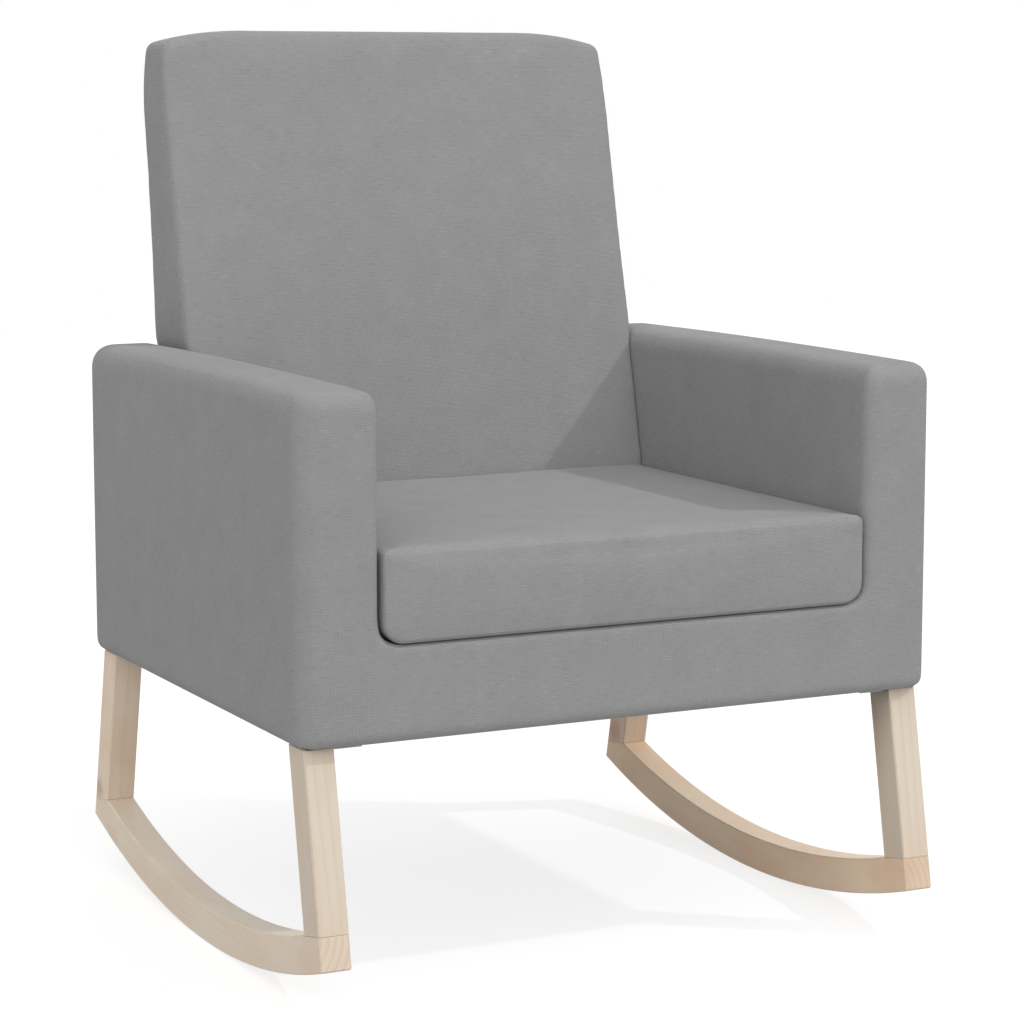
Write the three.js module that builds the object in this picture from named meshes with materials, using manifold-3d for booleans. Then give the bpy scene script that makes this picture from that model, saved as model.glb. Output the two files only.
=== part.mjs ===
// Upholstered rocking chair: a padded tub with a loose box cushion and a raked backrest,
// carried by two timber rocker frames.
// Millimetres. +Z is up, the chair faces -Y, and X is its width. "Left" and "right" are as
// seen by somebody standing in front of the chair. The origin is the centre of the footprint,
// at floor level, with the chair standing level on the lowest point of its runners.
import * as THREE from "three";
import { mergeVertices } from "three/addons/utils/BufferGeometryUtils.js";
import Module from "manifold-3d";

const wasm = await Module();
wasm.setup();

// ---------------------------------------------------------------- driving dimensions

const GAP = 0.3; // left between pieces that touch
const FABRIC = 2; // a cover with its wadding
const OVERCUT = 5; // how far a cutting block runs past what it cuts
const SIDES = [
  ["left", -1],
  ["right", 1],
];

// Rocker frames
const RUNNER_RADIUS = 990; // underside of the runner
const RUNNER_CENTRE_Y = -19;
const FRONT_TIP_Y = -321;
const REAR_TIP_Y = 311;
const TIMBER_DEPTH = 36; // legs and runners, seen from the side
const TIMBER_INNER_X = 300;
const TIMBER_OUTER_X = 330;
const FRONT_LEG_RAKE = 0.19; // sideways run for each unit of height
const REAR_LEG_RAKE = -0.225;
const REAR_SEAM_FALL = -0.148; // slope of the joint under the rear leg
const LEG_TOP_Z = 245.7;
const RUNNER_STEPS = 36;

// Padded body
const BODY_HALF_WIDTH = 340;
const BODY_FRONT_Y = -299;
const BODY_REAR_Y = 282;
const BODY_BOTTOM_Z = 246;
const ARM_TOP_Z = 571;
const ARM_INNER_X = 259;
const DECK_Z = 337;
const CORNER_RADIUS = 20; // fillet between an arm's inner face and the deck
const BODY_ROUNDS = {
  bottomEdge: 11,
  armOuterEdge: 26,
  armInnerEdge: 24,
  frontCorner: 24, // in plan
  rearCorner: 20,
  bottomEnd: 10, // in the side view
  rearTopEnd: 30,
  frontTopEnd: 20,
};
const DECK_OPENING = { halfWidth: 249, frontY: -240, rearY: 252 };
const DECK_CLOTH = { halfWidth: 253, frontY: -252, rearY: 118, thickness: 1.2 };
const DUST_COVER_THICKNESS = 1;
const FOAM_OPEN_Z = DECK_Z + 3; // the foam is open here, over the seat

// Backrest: its front face is one raked plane, its rear face another
const BACK_PLANE = { y: 152, z: 431.75, rake: 0.229 };
const BACK_REAR_PLANE = { y: 285.5, z: 572.6, rake: 0.114 };
const BACK_TOP_Z = 900;
const BACK_HALF_WIDTH = 264; // above the arms
const BACK_HALF_WIDTH_LOW = 258.4; // between the arms
const BACK_FLARE = { lowZ: 548, highZ: 574 }; // where it widens over the arms' inner edges
const BACK_KNEE = { y: 281.4, z: 550 }; // the rear face is upright below this
const BACK_SHOULDER = { z: 838, nextZ: 862, pull: 1.5 }; // where the sides start to draw in
const BACK_ARCH = { inX: 4, downZ: 16, handleX: 48, flatX: 99 }; // each top corner
const BACK_ROUNDS = { rearTop: 14, frontTop: 12 };
const BACK_FOOT_Z = DECK_Z + 0.6;
const BACK_HEM = { halfWidth: 248.5, behind: 10, rearY: 272 }; // opening in the cover's foot

// Seat cushion
const CUSHION_HALF_WIDTH = 256.5;
const CUSHION_FRONT_Y = -301;
const CUSHION_BOTTOM_Z = 337.6;
const CUSHION_TOP_Z = 426;
const CUSHION_ROUNDS = { frontBottom: 7, frontTop: 8, rearTop: 6, lowCorner: 21, topEdge: 7, plan: 12 };
const CUSHION_SLIT = { halfWidth: 200, halfHeight: 3, reach: 12 };

// Boards of the hidden frame
const BOARD = 22;
const FRAME_OUTER_X = 327.7;
const FRAME_FRONT_Y = -286;
const FRAME_REAR_Y = 278;
const BASE_RAIL = { innerX: 246, bottomZ: 247.5, topZ: 272.5, frontY: -285, rearY: 268 };
const RAIL_TOP_Z = 330.5;
const POST_INNER_X = 272;
const ARM_RAIL_TOP_Z = 560;
const ARM_RAIL_THICKNESS = 12;
const ARM_RAIL_REAR_Y = 268; // short of the rear post, to clear the arm's round end
const STILE = { innerX: 224, outerX: 246, depth: 50, bottomZ: 274, topZ: 868 };
const BACK_FOAM_DEPTH = 34;
const BACK_RAIL = 18; // thickness of the two rails between the stiles
const STILE_BEND = { y: 270, z: 500 }; // the stile's rear edge follows the rear face above this
const BACK_RAILS = { topHeight: 60, bottomZ: 345, bottomHeight: 60 };
const STRAP = { width: 50, thickness: 2, overlap: 0.4 }; // straps one way lie `overlap` lower
const SEAT_STRAPS = { acrossY: [-200, -100, 0, 100], alongX: [-160, -80, 0, 80, 160] };
const BACK_STRAPS = { acrossZ: [440, 530, 620, 710, 795], downX: [-110, 0, 110], lowZ: 352 };

// Fixings
const DRILL = 0.4; // a hole's radius over its fastener's
const DOWEL = { radius: 4, length: 34, offset: 9 };
const PLATE = { thickness: 3, halfTongue: 13, innerX: 270, outerX: 326, reach: 37 };
const BOLT = { radius: 4, headRadius: 6.5, headHeight: 5.3, x: 284, shift: 25, topZ: 281 };
const TEE_NUT = { barrelRadius: 5.5, flangeRadius: 11, flange: 1.5, barrel: 10 };
const LEG_SCREW = { radius: 2.4, headRadius: 5, headDepth: 2.6, length: 40, x: 315 };
const BACK_BOLT = { radius: 4, headRadius: 6.5, headHeight: 5, length: 40, heights: [288, 316] };

// ---------------------------------------------------------------- finishes

const FINISHES = {
  fabric: { color: 0x929292, roughness: 0.92, metalness: 0 },
  lining: { color: 0x2b2b2d, roughness: 0.9, metalness: 0 },
  pine: { color: 0xd9cbb6, roughness: 0.6, metalness: 0 },
  frameTimber: { color: 0xc9a878, roughness: 0.7, metalness: 0 },
  beech: { color: 0xc79a6b, roughness: 0.6, metalness: 0 },
  foam: { color: 0xe9e2c4, roughness: 0.95, metalness: 0 },
  webbing: { color: 0x3a3a3c, roughness: 0.85, metalness: 0 },
  steel: { color: 0xb9bbbd, roughness: 0.35, metalness: 1 },
};

// ---------------------------------------------------------------- shape helpers

// A closed geometry as a solid that can be joined and cut.
function solidOf(geometry) {
  const bare = geometry.clone();
  bare.deleteAttribute("normal");
  bare.deleteAttribute("uv");
  const merged = mergeVertices(bare, 1e-4);
  return new wasm.Manifold(
    new wasm.Mesh({
      numProp: 3,
      vertProperties: new Float32Array(merged.attributes.position.array),
      triVerts: new Uint32Array(merged.index.array),
    }),
  );
}

// A solid as a named mesh in one of the finishes.
function meshOf(name, solid, finish) {
  const cut = solid.getMesh();
  const geometry = new THREE.BufferGeometry();
  geometry.setAttribute("position", new THREE.BufferAttribute(cut.vertProperties, 3));
  geometry.setIndex(new THREE.BufferAttribute(cut.triVerts, 1));
  geometry.computeVertexNormals();
  const mesh = new THREE.Mesh(geometry, new THREE.MeshStandardMaterial(FINISHES[finish]));
  mesh.name = name;
  return mesh;
}

// A block between two values on each axis. The pairs may come in either order.
function block([xa, xb], [ya, yb], [za, zb]) {
  const geometry = new THREE.BoxGeometry(Math.abs(xb - xa), Math.abs(yb - ya), Math.abs(zb - za));
  geometry.translate((xa + xb) / 2, (ya + yb) / 2, (za + zb) / 2);
  return solidOf(geometry);
}

// The outline [[u, v, radius], ...] as points, each corner turned into an arc of its radius.
function outline(corners, steps = 5) {
  const points = [];
  corners.forEach(([u, v, radius = 0], i) => {
    const corner = new THREE.Vector2(u, v);
    if (radius === 0) {
      points.push(corner);
      return;
    }
    const before = corners.at(i - 1);
    const after = corners[(i + 1) % corners.length];
    const back = new THREE.Vector2(before[0] - u, before[1] - v).normalize();
    const on = new THREE.Vector2(after[0] - u, after[1] - v).normalize();
    const halfAngle = Math.acos(THREE.MathUtils.clamp(back.dot(on), -1, 1)) / 2;
    const bisector = back.clone().add(on).normalize();
    const centre = corner.clone().addScaledVector(bisector, radius / Math.sin(halfAngle));
    const reach = radius / Math.tan(halfAngle);
    const start = corner.clone().addScaledVector(back, reach).sub(centre);
    const end = corner.clone().addScaledVector(on, reach).sub(centre);
    const turn = Math.atan2(start.cross(end), start.dot(end));
    for (let k = 0; k <= steps; k++) {
      const spoke = start.clone().rotateAround(new THREE.Vector2(), (turn * k) / steps);
      points.push(centre.clone().add(spoke));
    }
  });
  return points;
}

// An outline pushed along one axis: (y, z) along X, (x, z) along Y, or (x, y) along Z.
function extrude(axis, points, from, to) {
  const low = Math.min(from, to);
  const high = Math.max(from, to);
  const shape = new THREE.Shape(points);
  const geometry = new THREE.ExtrudeGeometry(shape, { depth: high - low, bevelEnabled: false });
  const [x, y, z] = [
    new THREE.Vector3(1, 0, 0),
    new THREE.Vector3(0, 1, 0),
    new THREE.Vector3(0, 0, 1),
  ];
  const turn = new THREE.Matrix4();
  if (axis === "x") turn.makeBasis(y, z, x).setPosition(low, 0, 0);
  if (axis === "y") turn.makeBasis(x, z, y.clone().negate()).setPosition(0, high, 0);
  if (axis === "z") turn.setPosition(0, 0, low);
  geometry.applyMatrix4(turn);
  return solidOf(geometry);
}

// A lathed solid: profile [[radius, height], ...], its own axis laid from `foot` along `along`.
function turned(profile, foot, along, sides = 16) {
  const points = profile.map(([radius, height]) => new THREE.Vector2(radius, height));
  const geometry = new THREE.LatheGeometry(points, sides);
  const turn = new THREE.Quaternion();
  turn.setFromUnitVectors(new THREE.Vector3(0, 1, 0), along.clone().normalize());
  geometry.applyQuaternion(turn);
  geometry.translate(foot.x, foot.y, foot.z);
  return solidOf(geometry);
}

// A plain round bar or hole.
function rod(radius, foot, along, length, sides = 16) {
  const profile = [
    [0, 0],
    [radius, 0],
    [radius, length],
    [0, length],
  ];
  return turned(profile, foot, along, sides);
}

const UP = new THREE.Vector3(0, 0, 1);
const at = (x, y, z) => new THREE.Vector3(x, y, z);

// ---------------------------------------------------------------- rocker frames

// Height of the runner's arc of this radius above the floor, at a distance from the front.
function arcZ(radius, y) {
  return RUNNER_RADIUS - Math.sqrt(radius ** 2 - (y - RUNNER_CENTRE_Y) ** 2);
}

// A leg's edge: its y at a height, for the edge through a runner's tip.
const frontEdgeY = (z) => FRONT_TIP_Y + FRONT_LEG_RAKE * (z - arcZ(RUNNER_RADIUS, FRONT_TIP_Y));
const rearEdgeY = (z) => REAR_TIP_Y + REAR_LEG_RAKE * (z - arcZ(RUNNER_RADIUS, REAR_TIP_Y));

const FRONT_LEG_RUN = TIMBER_DEPTH * Math.hypot(1, FRONT_LEG_RAKE); // level width of a leg
const REAR_LEG_RUN = TIMBER_DEPTH * Math.hypot(1, REAR_LEG_RAKE);
const TOP_ARC_RADIUS = RUNNER_RADIUS - TIMBER_DEPTH;

// Where a leg's inner edge comes down onto the runner's upper arc, by repeated substitution.
function meetArc(edgeY) {
  let z = 2 * TIMBER_DEPTH;
  for (let k = 0; k < 20; k++) z = arcZ(TOP_ARC_RADIUS, edgeY(z));
  return [edgeY(z), z];
}

// The four corners that legs and runner share, in the side view.
function jointCorners() {
  const frontHeel = meetArc((z) => frontEdgeY(z) + FRONT_LEG_RUN);
  const squareCut = TIMBER_DEPTH / Math.hypot(1, FRONT_LEG_RAKE);
  const frontToe = [frontHeel[0] - squareCut, frontHeel[1] + FRONT_LEG_RAKE * squareCut];
  const rearHeel = meetArc((z) => rearEdgeY(z) - REAR_LEG_RUN);
  const fall = (z) => rearHeel[1] + REAR_SEAM_FALL * (rearEdgeY(z) - rearHeel[0]);
  const toeZ = fall(fall(rearHeel[1]));
  const rearToe = [rearEdgeY(toeZ), toeZ];
  return { frontHeel, frontToe, rearHeel, rearToe };
}

const CORNERS = jointCorners();

// The points of one of the runner's arcs, from one y to another. Half a step is kept at each
// side of the lowest point, so that the runner stands on one small level facet.
function arcPoints(radius, fromY, toY) {
  const angleOf = (y) => Math.asin((y - RUNNER_CENTRE_Y) / radius);
  const step = (Math.asin((REAR_TIP_Y - FRONT_TIP_Y) / 2 / RUNNER_RADIUS) * 2) / RUNNER_STEPS;
  const points = [[fromY, arcZ(radius, fromY)]];
  const first = Math.ceil(angleOf(Math.min(fromY, toY)) / step + 0.7) - 0.5;
  for (let k = first; k * step < angleOf(Math.max(fromY, toY)) - 0.2 * step; k++) {
    const y = RUNNER_CENTRE_Y + radius * Math.sin(k * step);
    points.push([y, arcZ(radius, y)]);
  }
  points.push([toY, arcZ(radius, toY)]);
  return points;
}

// The two dowels of a joint, as [foot, direction], from the runner up into the leg.
function dowelAxes(heel, toe, rake, x) {
  const along = at(0, rake, 1).normalize();
  const middle = [(heel[0] + toe[0]) / 2, (heel[1] + toe[1]) / 2];
  const across = new THREE.Vector2(toe[0] - heel[0], toe[1] - heel[1]).normalize();
  return [-1, 1].map((end) => {
    const y = middle[0] + across.x * DOWEL.offset * end;
    const z = middle[1] + across.y * DOWEL.offset * end;
    return [at(x, y, z).addScaledVector(along, -DOWEL.length / 2), along];
  });
}

// A dowel's hole, a little wider and longer than the dowel.
function dowelHole([foot, along]) {
  const start = foot.clone().addScaledVector(along, -1);
  return rod(DOWEL.radius + DRILL, start, along, DOWEL.length + 2);
}

function runner(dowels, xs) {
  const { frontHeel, frontToe, rearHeel, rearToe } = CORNERS;
  const points = [
    ...arcPoints(RUNNER_RADIUS, FRONT_TIP_Y, REAR_TIP_Y),
    [rearToe[0], rearToe[1] - GAP],
    ...arcPoints(TOP_ARC_RADIUS, frontHeel[0], rearHeel[0])
      .reverse()
      .map(([y, z]) => [y, z - GAP]),
    [frontToe[0], frontToe[1] - GAP],
  ];
  const solid = extrude("x", points.map(([y, z]) => new THREE.Vector2(y, z)), ...xs);
  return dowels.reduce((left, dowel) => left.subtract(dowelHole(dowel)), solid);
}

// Middle of a leg's level top, in y.
const FRONT_TOP_Y = frontEdgeY(LEG_TOP_Z) + FRONT_LEG_RUN / 2;
const REAR_TOP_Y = rearEdgeY(LEG_TOP_Z) - REAR_LEG_RUN / 2;
const PLATE_TOP_Z = LEG_TOP_Z - GAP;
const PLATE_BOTTOM_Z = PLATE_TOP_Z - PLATE.thickness;

// A leg with its dowel holes, and a pocket in its top for the plate that holds it.
function leg(corners, topY, dowels, side, xs) {
  const solid = extrude("x", corners.map(([y, z]) => new THREE.Vector2(y, z)), ...xs);
  const halfPocket = PLATE.halfTongue + GAP;
  const pocket = block(
    [side * (TIMBER_INNER_X - OVERCUT), side * (PLATE.outerX + GAP)],
    [topY - halfPocket, topY + halfPocket],
    [PLATE_BOTTOM_Z - GAP, LEG_TOP_Z + OVERCUT],
  );
  const screwHole = rod(
    LEG_SCREW.radius + DRILL,
    at(side * LEG_SCREW.x, topY, PLATE_TOP_Z - LEG_SCREW.length - 1),
    UP,
    LEG_SCREW.length,
    12,
  );
  return dowels
    .reduce((left, dowel) => left.subtract(dowelHole(dowel)), solid)
    .subtract(pocket)
    .subtract(screwHole);
}

function frontLeg(dowels, side, xs) {
  const { frontHeel, frontToe } = CORNERS;
  const topFrontY = frontEdgeY(LEG_TOP_Z);
  const top = [
    [topFrontY + FRONT_LEG_RUN, LEG_TOP_Z],
    [topFrontY, LEG_TOP_Z],
  ];
  return leg([frontToe, frontHeel, ...top], FRONT_TOP_Y, dowels, side, xs);
}

function rearLeg(dowels, side, xs) {
  const { rearHeel, rearToe } = CORNERS;
  const topRearY = rearEdgeY(LEG_TOP_Z);
  const top = [
    [topRearY, LEG_TOP_Z],
    [topRearY - REAR_LEG_RUN, LEG_TOP_Z],
  ];
  return leg([rearHeel, rearToe, ...top], REAR_TOP_Y, dowels, side, xs);
}

// Countersunk screw, or with `room` the hole that clears it.
function countersunk(x, y, room = 0) {
  const { radius, headRadius, headDepth, length } = LEG_SCREW;
  const profile = [
    [0, 0],
    [radius + room, 0],
    [radius + room, length - headDepth],
    [headRadius + room, length],
    [headRadius + room, length + room],
    [0, length + room],
  ];
  return turned(profile, at(x, y, PLATE_TOP_Z - length), UP);
}

// Steel plate let into the leg's top. Its wider end lies under the body and takes the bolt.
// `inward` is +1 where the bolt lies behind the leg, and -1 where it lies in front.
function legPlate(topY, side, inward) {
  const tongue = PLATE.halfTongue;
  const points = [
    [PLATE.outerX, -tongue],
    [PLATE.outerX, tongue],
    [TIMBER_INNER_X - 1, tongue],
    [TIMBER_INNER_X - 1, PLATE.reach],
    [PLATE.innerX, PLATE.reach],
    [PLATE.innerX, -tongue],
  ].map(([x, y]) => new THREE.Vector2(side * x, topY + inward * y));
  const plate = extrude("z", points, PLATE_BOTTOM_Z, PLATE_TOP_Z);
  const boltHole = rod(
    BOLT.radius + DRILL,
    at(side * BOLT.x, topY + inward * BOLT.shift, PLATE_BOTTOM_Z - 1),
    UP,
    PLATE.thickness + 2,
  );
  return plate.subtract(boltHole).subtract(countersunk(side * LEG_SCREW.x, topY, GAP));
}

// Bolt with a six-sided head, standing on `foot`.
function hexBolt(foot, along, radius, headRadius, headHeight, length) {
  const head = rod(headRadius, foot, along, headHeight, 6);
  const shankFoot = foot.clone().addScaledVector(along, headHeight / 2);
  return head.add(rod(radius, shankFoot, along, length + headHeight / 2));
}

// Nut with a round flange on top and a barrel let down into the rail.
function teeNut(x, y) {
  const { barrelRadius, flangeRadius, flange, barrel } = TEE_NUT;
  const bore = BOLT.radius + DRILL;
  const profile = [
    [bore, -barrel],
    [barrelRadius, -barrel],
    [barrelRadius, 0],
    [flangeRadius, 0],
    [flangeRadius, flange],
    [bore, flange],
    [bore, -barrel],
  ];
  return turned(profile, at(x, y, BASE_RAIL.topZ + GAP), UP);
}

// One rocker frame: two legs butted and dowelled onto a runner, with its plates and fixings.
function rockerFrame(word, side) {
  const frame = new THREE.Group();
  const xs = [side * TIMBER_INNER_X, side * TIMBER_OUTER_X];
  const middleX = (side * (TIMBER_INNER_X + TIMBER_OUTER_X)) / 2;
  const { frontHeel, frontToe, rearHeel, rearToe } = CORNERS;
  const frontDowels = dowelAxes(frontHeel, frontToe, FRONT_LEG_RAKE, middleX);
  const rearDowels = dowelAxes(rearHeel, rearToe, REAR_LEG_RAKE, middleX);
  frame.add(meshOf(`runner_${word}`, runner([...frontDowels, ...rearDowels], xs), "pine"));
  frame.add(meshOf(`front_leg_${word}`, frontLeg(frontDowels, side, xs), "pine"));
  frame.add(meshOf(`rear_leg_${word}`, rearLeg(rearDowels, side, xs), "pine"));
  const ends = [
    ["front", frontDowels, FRONT_TOP_Y, 1],
    ["rear", rearDowels, REAR_TOP_Y, -1],
  ];
  for (const [end, dowels, topY, inward] of ends) {
    dowels.forEach(([foot, along], i) => {
      const dowel = rod(DOWEL.radius, foot, along, DOWEL.length);
      frame.add(meshOf(`${end}_dowel_${word}_${i + 1}`, dowel, "beech"));
    });
    const boltX = side * BOLT.x;
    const boltY = topY + inward * BOLT.shift;
    const boltFoot = at(boltX, boltY, PLATE_BOTTOM_Z - GAP - BOLT.headHeight);
    const shank = BOLT.topZ - PLATE_BOTTOM_Z;
    const { radius, headRadius, headHeight } = BOLT;
    const bolt = hexBolt(boltFoot, UP, radius, headRadius, headHeight, shank);
    frame.add(meshOf(`${end}_leg_plate_${word}`, legPlate(topY, side, inward), "steel"));
    frame.add(meshOf(`${end}_leg_screw_${word}`, countersunk(side * LEG_SCREW.x, topY), "steel"));
    frame.add(meshOf(`${end}_frame_bolt_${word}`, bolt, "steel"));
    frame.add(meshOf(`${end}_tee_nut_${word}`, teeNut(boltX, boltY), "steel"));
  }
  return frame;
}

// ---------------------------------------------------------------- padded body

// The tub's outside, set in by `inset`: a U seen from the front, with a plan and a side view
// that round its corners.
function bodySolid(inset) {
  const half = BODY_HALF_WIDTH - inset;
  const inner = ARM_INNER_X + inset;
  const low = BODY_BOTTOM_Z + inset;
  const top = ARM_TOP_Z - inset;
  const deck = DECK_Z - inset;
  const front = BODY_FRONT_Y + inset;
  const rear = BODY_REAR_Y - inset;
  const round = (name) => BODY_ROUNDS[name] - inset;
  const uShape = outline([
    [-half, low, round("bottomEdge")],
    [half, low, round("bottomEdge")],
    [half, top, round("armOuterEdge")],
    [inner, top, round("armInnerEdge")],
    [inner, deck, CORNER_RADIUS + inset],
    [-inner, deck, CORNER_RADIUS + inset],
    [-inner, top, round("armInnerEdge")],
    [-half, top, round("armOuterEdge")],
  ]);
  const plan = outline([
    [-half, front, round("frontCorner")],
    [half, front, round("frontCorner")],
    [half, rear, round("rearCorner")],
    [-half, rear, round("rearCorner")],
  ]);
  const side = outline([
    [front, low, round("bottomEnd")],
    [rear, low, round("bottomEnd")],
    [rear, top, round("rearTopEnd")],
    [front, top, round("frontTopEnd")],
  ]);
  return extrude("y", uShape, front, rear)
    .intersect(extrude("z", plan, low, top))
    .intersect(extrude("x", side, -half, half));
}

// The opening under the body, which the dust cover closes.
function underside(margin, [zLow, zHigh]) {
  const half = FRAME_OUTER_X + GAP - margin;
  const ys = [BASE_RAIL.frontY - 2 + margin, BASE_RAIL.rearY + 2 - margin];
  return block([-half, half], ys, [zLow, zHigh]);
}

// One cover over both arms, the front apron and the rear apron, open below and over the deck.
function bodyCover() {
  const { halfWidth, frontY, rearY } = DECK_OPENING;
  const deckZs = [DECK_Z - OVERCUT, DECK_Z + OVERCUT];
  return bodySolid(0)
    .subtract(bodySolid(FABRIC))
    .subtract(underside(0, [BODY_BOTTOM_Z - OVERCUT, BODY_BOTTOM_Z + OVERCUT]))
    .subtract(block([-halfWidth, halfWidth], [frontY, rearY], deckZs));
}

// Sheet foam that wraps both arms and the front rail, with the timber frame in its hollow.
function bodyFoam() {
  const clear = FABRIC + GAP;
  const ys = [FRAME_FRONT_Y - GAP, BODY_REAR_Y + OVERCUT];
  const baseXs = [-FRAME_OUTER_X - GAP, FRAME_OUTER_X + GAP];
  const wrap = bodySolid(clear).subtract(block(baseXs, ys, [BODY_BOTTOM_Z - OVERCUT, FOAM_OPEN_Z]));
  const hollows = SIDES.map(([, side]) => {
    const xs = [side * (POST_INNER_X - GAP), side * (FRAME_OUTER_X + GAP)];
    return block(xs, ys, [BODY_BOTTOM_Z, ARM_RAIL_TOP_Z + GAP]);
  });
  return hollows.reduce((left, hollow) => left.subtract(hollow), wrap);
}

// Thin cloth stapled under the frame, with a hole for each bolt.
function dustCover() {
  const cloth = underside(GAP, [BODY_BOTTOM_Z, BODY_BOTTOM_Z + DUST_COVER_THICKNESS]);
  const holes = SIDES.flatMap(([, side]) =>
    [FRONT_TOP_Y + BOLT.shift, REAR_TOP_Y - BOLT.shift].map((y) =>
      rod(BOLT.radius + 1, at(side * BOLT.x, y, BODY_BOTTOM_Z - 1), UP, 4, 12),
    ),
  );
  return holes.reduce((left, hole) => left.subtract(hole), cloth);
}

// Flat rail under each arm, drilled for the two tee nuts. The rocker frame bolts to it.
function baseRail(side) {
  const { innerX, bottomZ, topZ, frontY, rearY } = BASE_RAIL;
  const rail = block([side * innerX, side * FRAME_OUTER_X], [frontY, rearY], [bottomZ, topZ]);
  const holes = [FRONT_TOP_Y + BOLT.shift, REAR_TOP_Y - BOLT.shift].map((y) =>
    rod(TEE_NUT.barrelRadius + DRILL, at(side * BOLT.x, y, bottomZ - 1), UP, topZ - bottomZ + 2),
  );
  return holes.reduce((left, hole) => left.subtract(hole), rail);
}

// Board on edge beside the seat, drilled for the two bolts that hold the back stile.
function seatSideRail(side) {
  const ys = [FRAME_FRONT_Y + BOARD + GAP, FRAME_REAR_Y - BOARD - GAP];
  const xs = [side * (STILE.outerX + GAP), side * (STILE.outerX + GAP + BOARD)];
  const rail = block(xs, ys, [BASE_RAIL.topZ + GAP, RAIL_TOP_Z]);
  const holes = BACK_BOLT.heights.map((z) => backBoltHole(z, side));
  return holes.reduce((left, hole) => left.subtract(hole), rail);
}

function bodyFrame() {
  const frame = new THREE.Group();
  const railXs = [-FRAME_OUTER_X, FRAME_OUTER_X];
  const railZs = [BASE_RAIL.topZ + GAP, RAIL_TOP_Z];
  const frontYs = [FRAME_FRONT_Y, FRAME_FRONT_Y + BOARD];
  const rearYs = [FRAME_REAR_Y - BOARD, FRAME_REAR_Y];
  frame.add(meshOf("front_rail", block(railXs, frontYs, railZs), "frameTimber"));
  frame.add(meshOf("rear_rail", block(railXs, rearYs, railZs), "frameTimber"));
  for (const [word, side] of SIDES) {
    const postXs = [side * POST_INNER_X, side * FRAME_OUTER_X];
    const armRailBottom = ARM_RAIL_TOP_Z - ARM_RAIL_THICKNESS;
    const postZs = [RAIL_TOP_Z + GAP, armRailBottom - GAP];
    const armRail = block(postXs, [FRAME_FRONT_Y, ARM_RAIL_REAR_Y], [armRailBottom, ARM_RAIL_TOP_Z]);
    frame.add(meshOf(`base_rail_${word}`, baseRail(side), "frameTimber"));
    frame.add(meshOf(`seat_side_rail_${word}`, seatSideRail(side), "frameTimber"));
    frame.add(meshOf(`front_post_${word}`, block(postXs, frontYs, postZs), "frameTimber"));
    frame.add(meshOf(`rear_post_${word}`, block(postXs, rearYs, postZs), "frameTimber"));
    frame.add(meshOf(`arm_rail_${word}`, armRail, "frameTimber"));
  }
  return frame;
}

// Straps laid as a net over the seat frame, from side to side and from front to back.
function seatWebbing() {
  const half = STRAP.width / 2;
  const z = RAIL_TOP_Z + GAP;
  const span = STILE.outerX + BOARD - 3;
  const ys = [FRAME_FRONT_Y + 6, FRAME_REAR_Y - 6];
  const upper = [z + STRAP.overlap, z + STRAP.overlap + STRAP.thickness];
  const across = SEAT_STRAPS.acrossY.map((y) =>
    block([-span, span], [y - half, y + half], [z, z + STRAP.thickness]),
  );
  const along = SEAT_STRAPS.alongX.map((x) => block([x - half, x + half], ys, upper));
  return [...across, ...along].reduce((net, strap) => net.add(strap));
}

// Dark cloth over the webbing, seen only when the cushion is out.
function deckCloth() {
  const { halfWidth, frontY, rearY, thickness } = DECK_CLOTH;
  const z = RAIL_TOP_Z + GAP + STRAP.thickness + STRAP.overlap + GAP;
  return block([-halfWidth, halfWidth], [frontY, rearY], [z, z + thickness]);
}

// ---------------------------------------------------------------- backrest

const planeY = (plane, z) => plane.y + plane.rake * (z - plane.z);
const frontRun = Math.hypot(1, BACK_PLANE.rake); // level depth for each unit square to the face

// y of a plane lying `behind` the backrest's front face, at a height.
const behindFaceY = (behind, z) => planeY(BACK_PLANE, z) + behind * frontRun;

// The backrest's outside, set in by `inset`, from a height upwards.
function backSolid(inset, bottomZ) {
  const top = BACK_TOP_Z - inset;
  const side = outline([
    [behindFaceY(inset, bottomZ), bottomZ],
    [BACK_KNEE.y - inset, bottomZ],
    [BACK_KNEE.y - inset, BACK_KNEE.z],
    [planeY(BACK_REAR_PLANE, top) - inset, top, BACK_ROUNDS.rearTop - inset],
    [behindFaceY(inset, top), top, BACK_ROUNDS.frontTop - inset],
  ]);
  const half = BACK_HALF_WIDTH - inset;
  const halfLow = BACK_HALF_WIDTH_LOW - inset;
  const arch = new THREE.QuadraticBezierCurve(
    new THREE.Vector2(half - BACK_ARCH.inX, top - BACK_ARCH.downZ),
    new THREE.Vector2(half - BACK_ARCH.handleX, top),
    new THREE.Vector2(half - BACK_ARCH.flatX, top),
  ).getPoints(6);
  const foot = CORNER_RADIUS + 2 - inset; // clears the fillet between arm and deck
  const rightEdge = [
    [halfLow, bottomZ, foot],
    [halfLow, BACK_FLARE.lowZ],
    [half, BACK_FLARE.highZ],
    [half, BACK_SHOULDER.z],
    [half - BACK_SHOULDER.pull, BACK_SHOULDER.nextZ],
    ...arch.map((point) => [point.x, point.y]),
  ];
  const leftEdge = rightEdge.map(([x, z, radius]) => [-x, z, radius]).reverse();
  const front = outline([...rightEdge, ...leftEdge]);
  return extrude("x", side, -half, half).intersect(extrude("y", front, 0, 2 * BACK_KNEE.y));
}

function backCover() {
  const { halfWidth, behind, rearY } = BACK_HEM;
  const ys = [behindFaceY(behind, BACK_FOOT_Z), rearY];
  const hem = block([-halfWidth, halfWidth], ys, [BACK_FOOT_Z - OVERCUT, BACK_FOOT_Z + OVERCUT]);
  return backSolid(0, BACK_FOOT_Z).subtract(backSolid(FABRIC, BACK_FOOT_Z + FABRIC)).subtract(hem);
}

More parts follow.
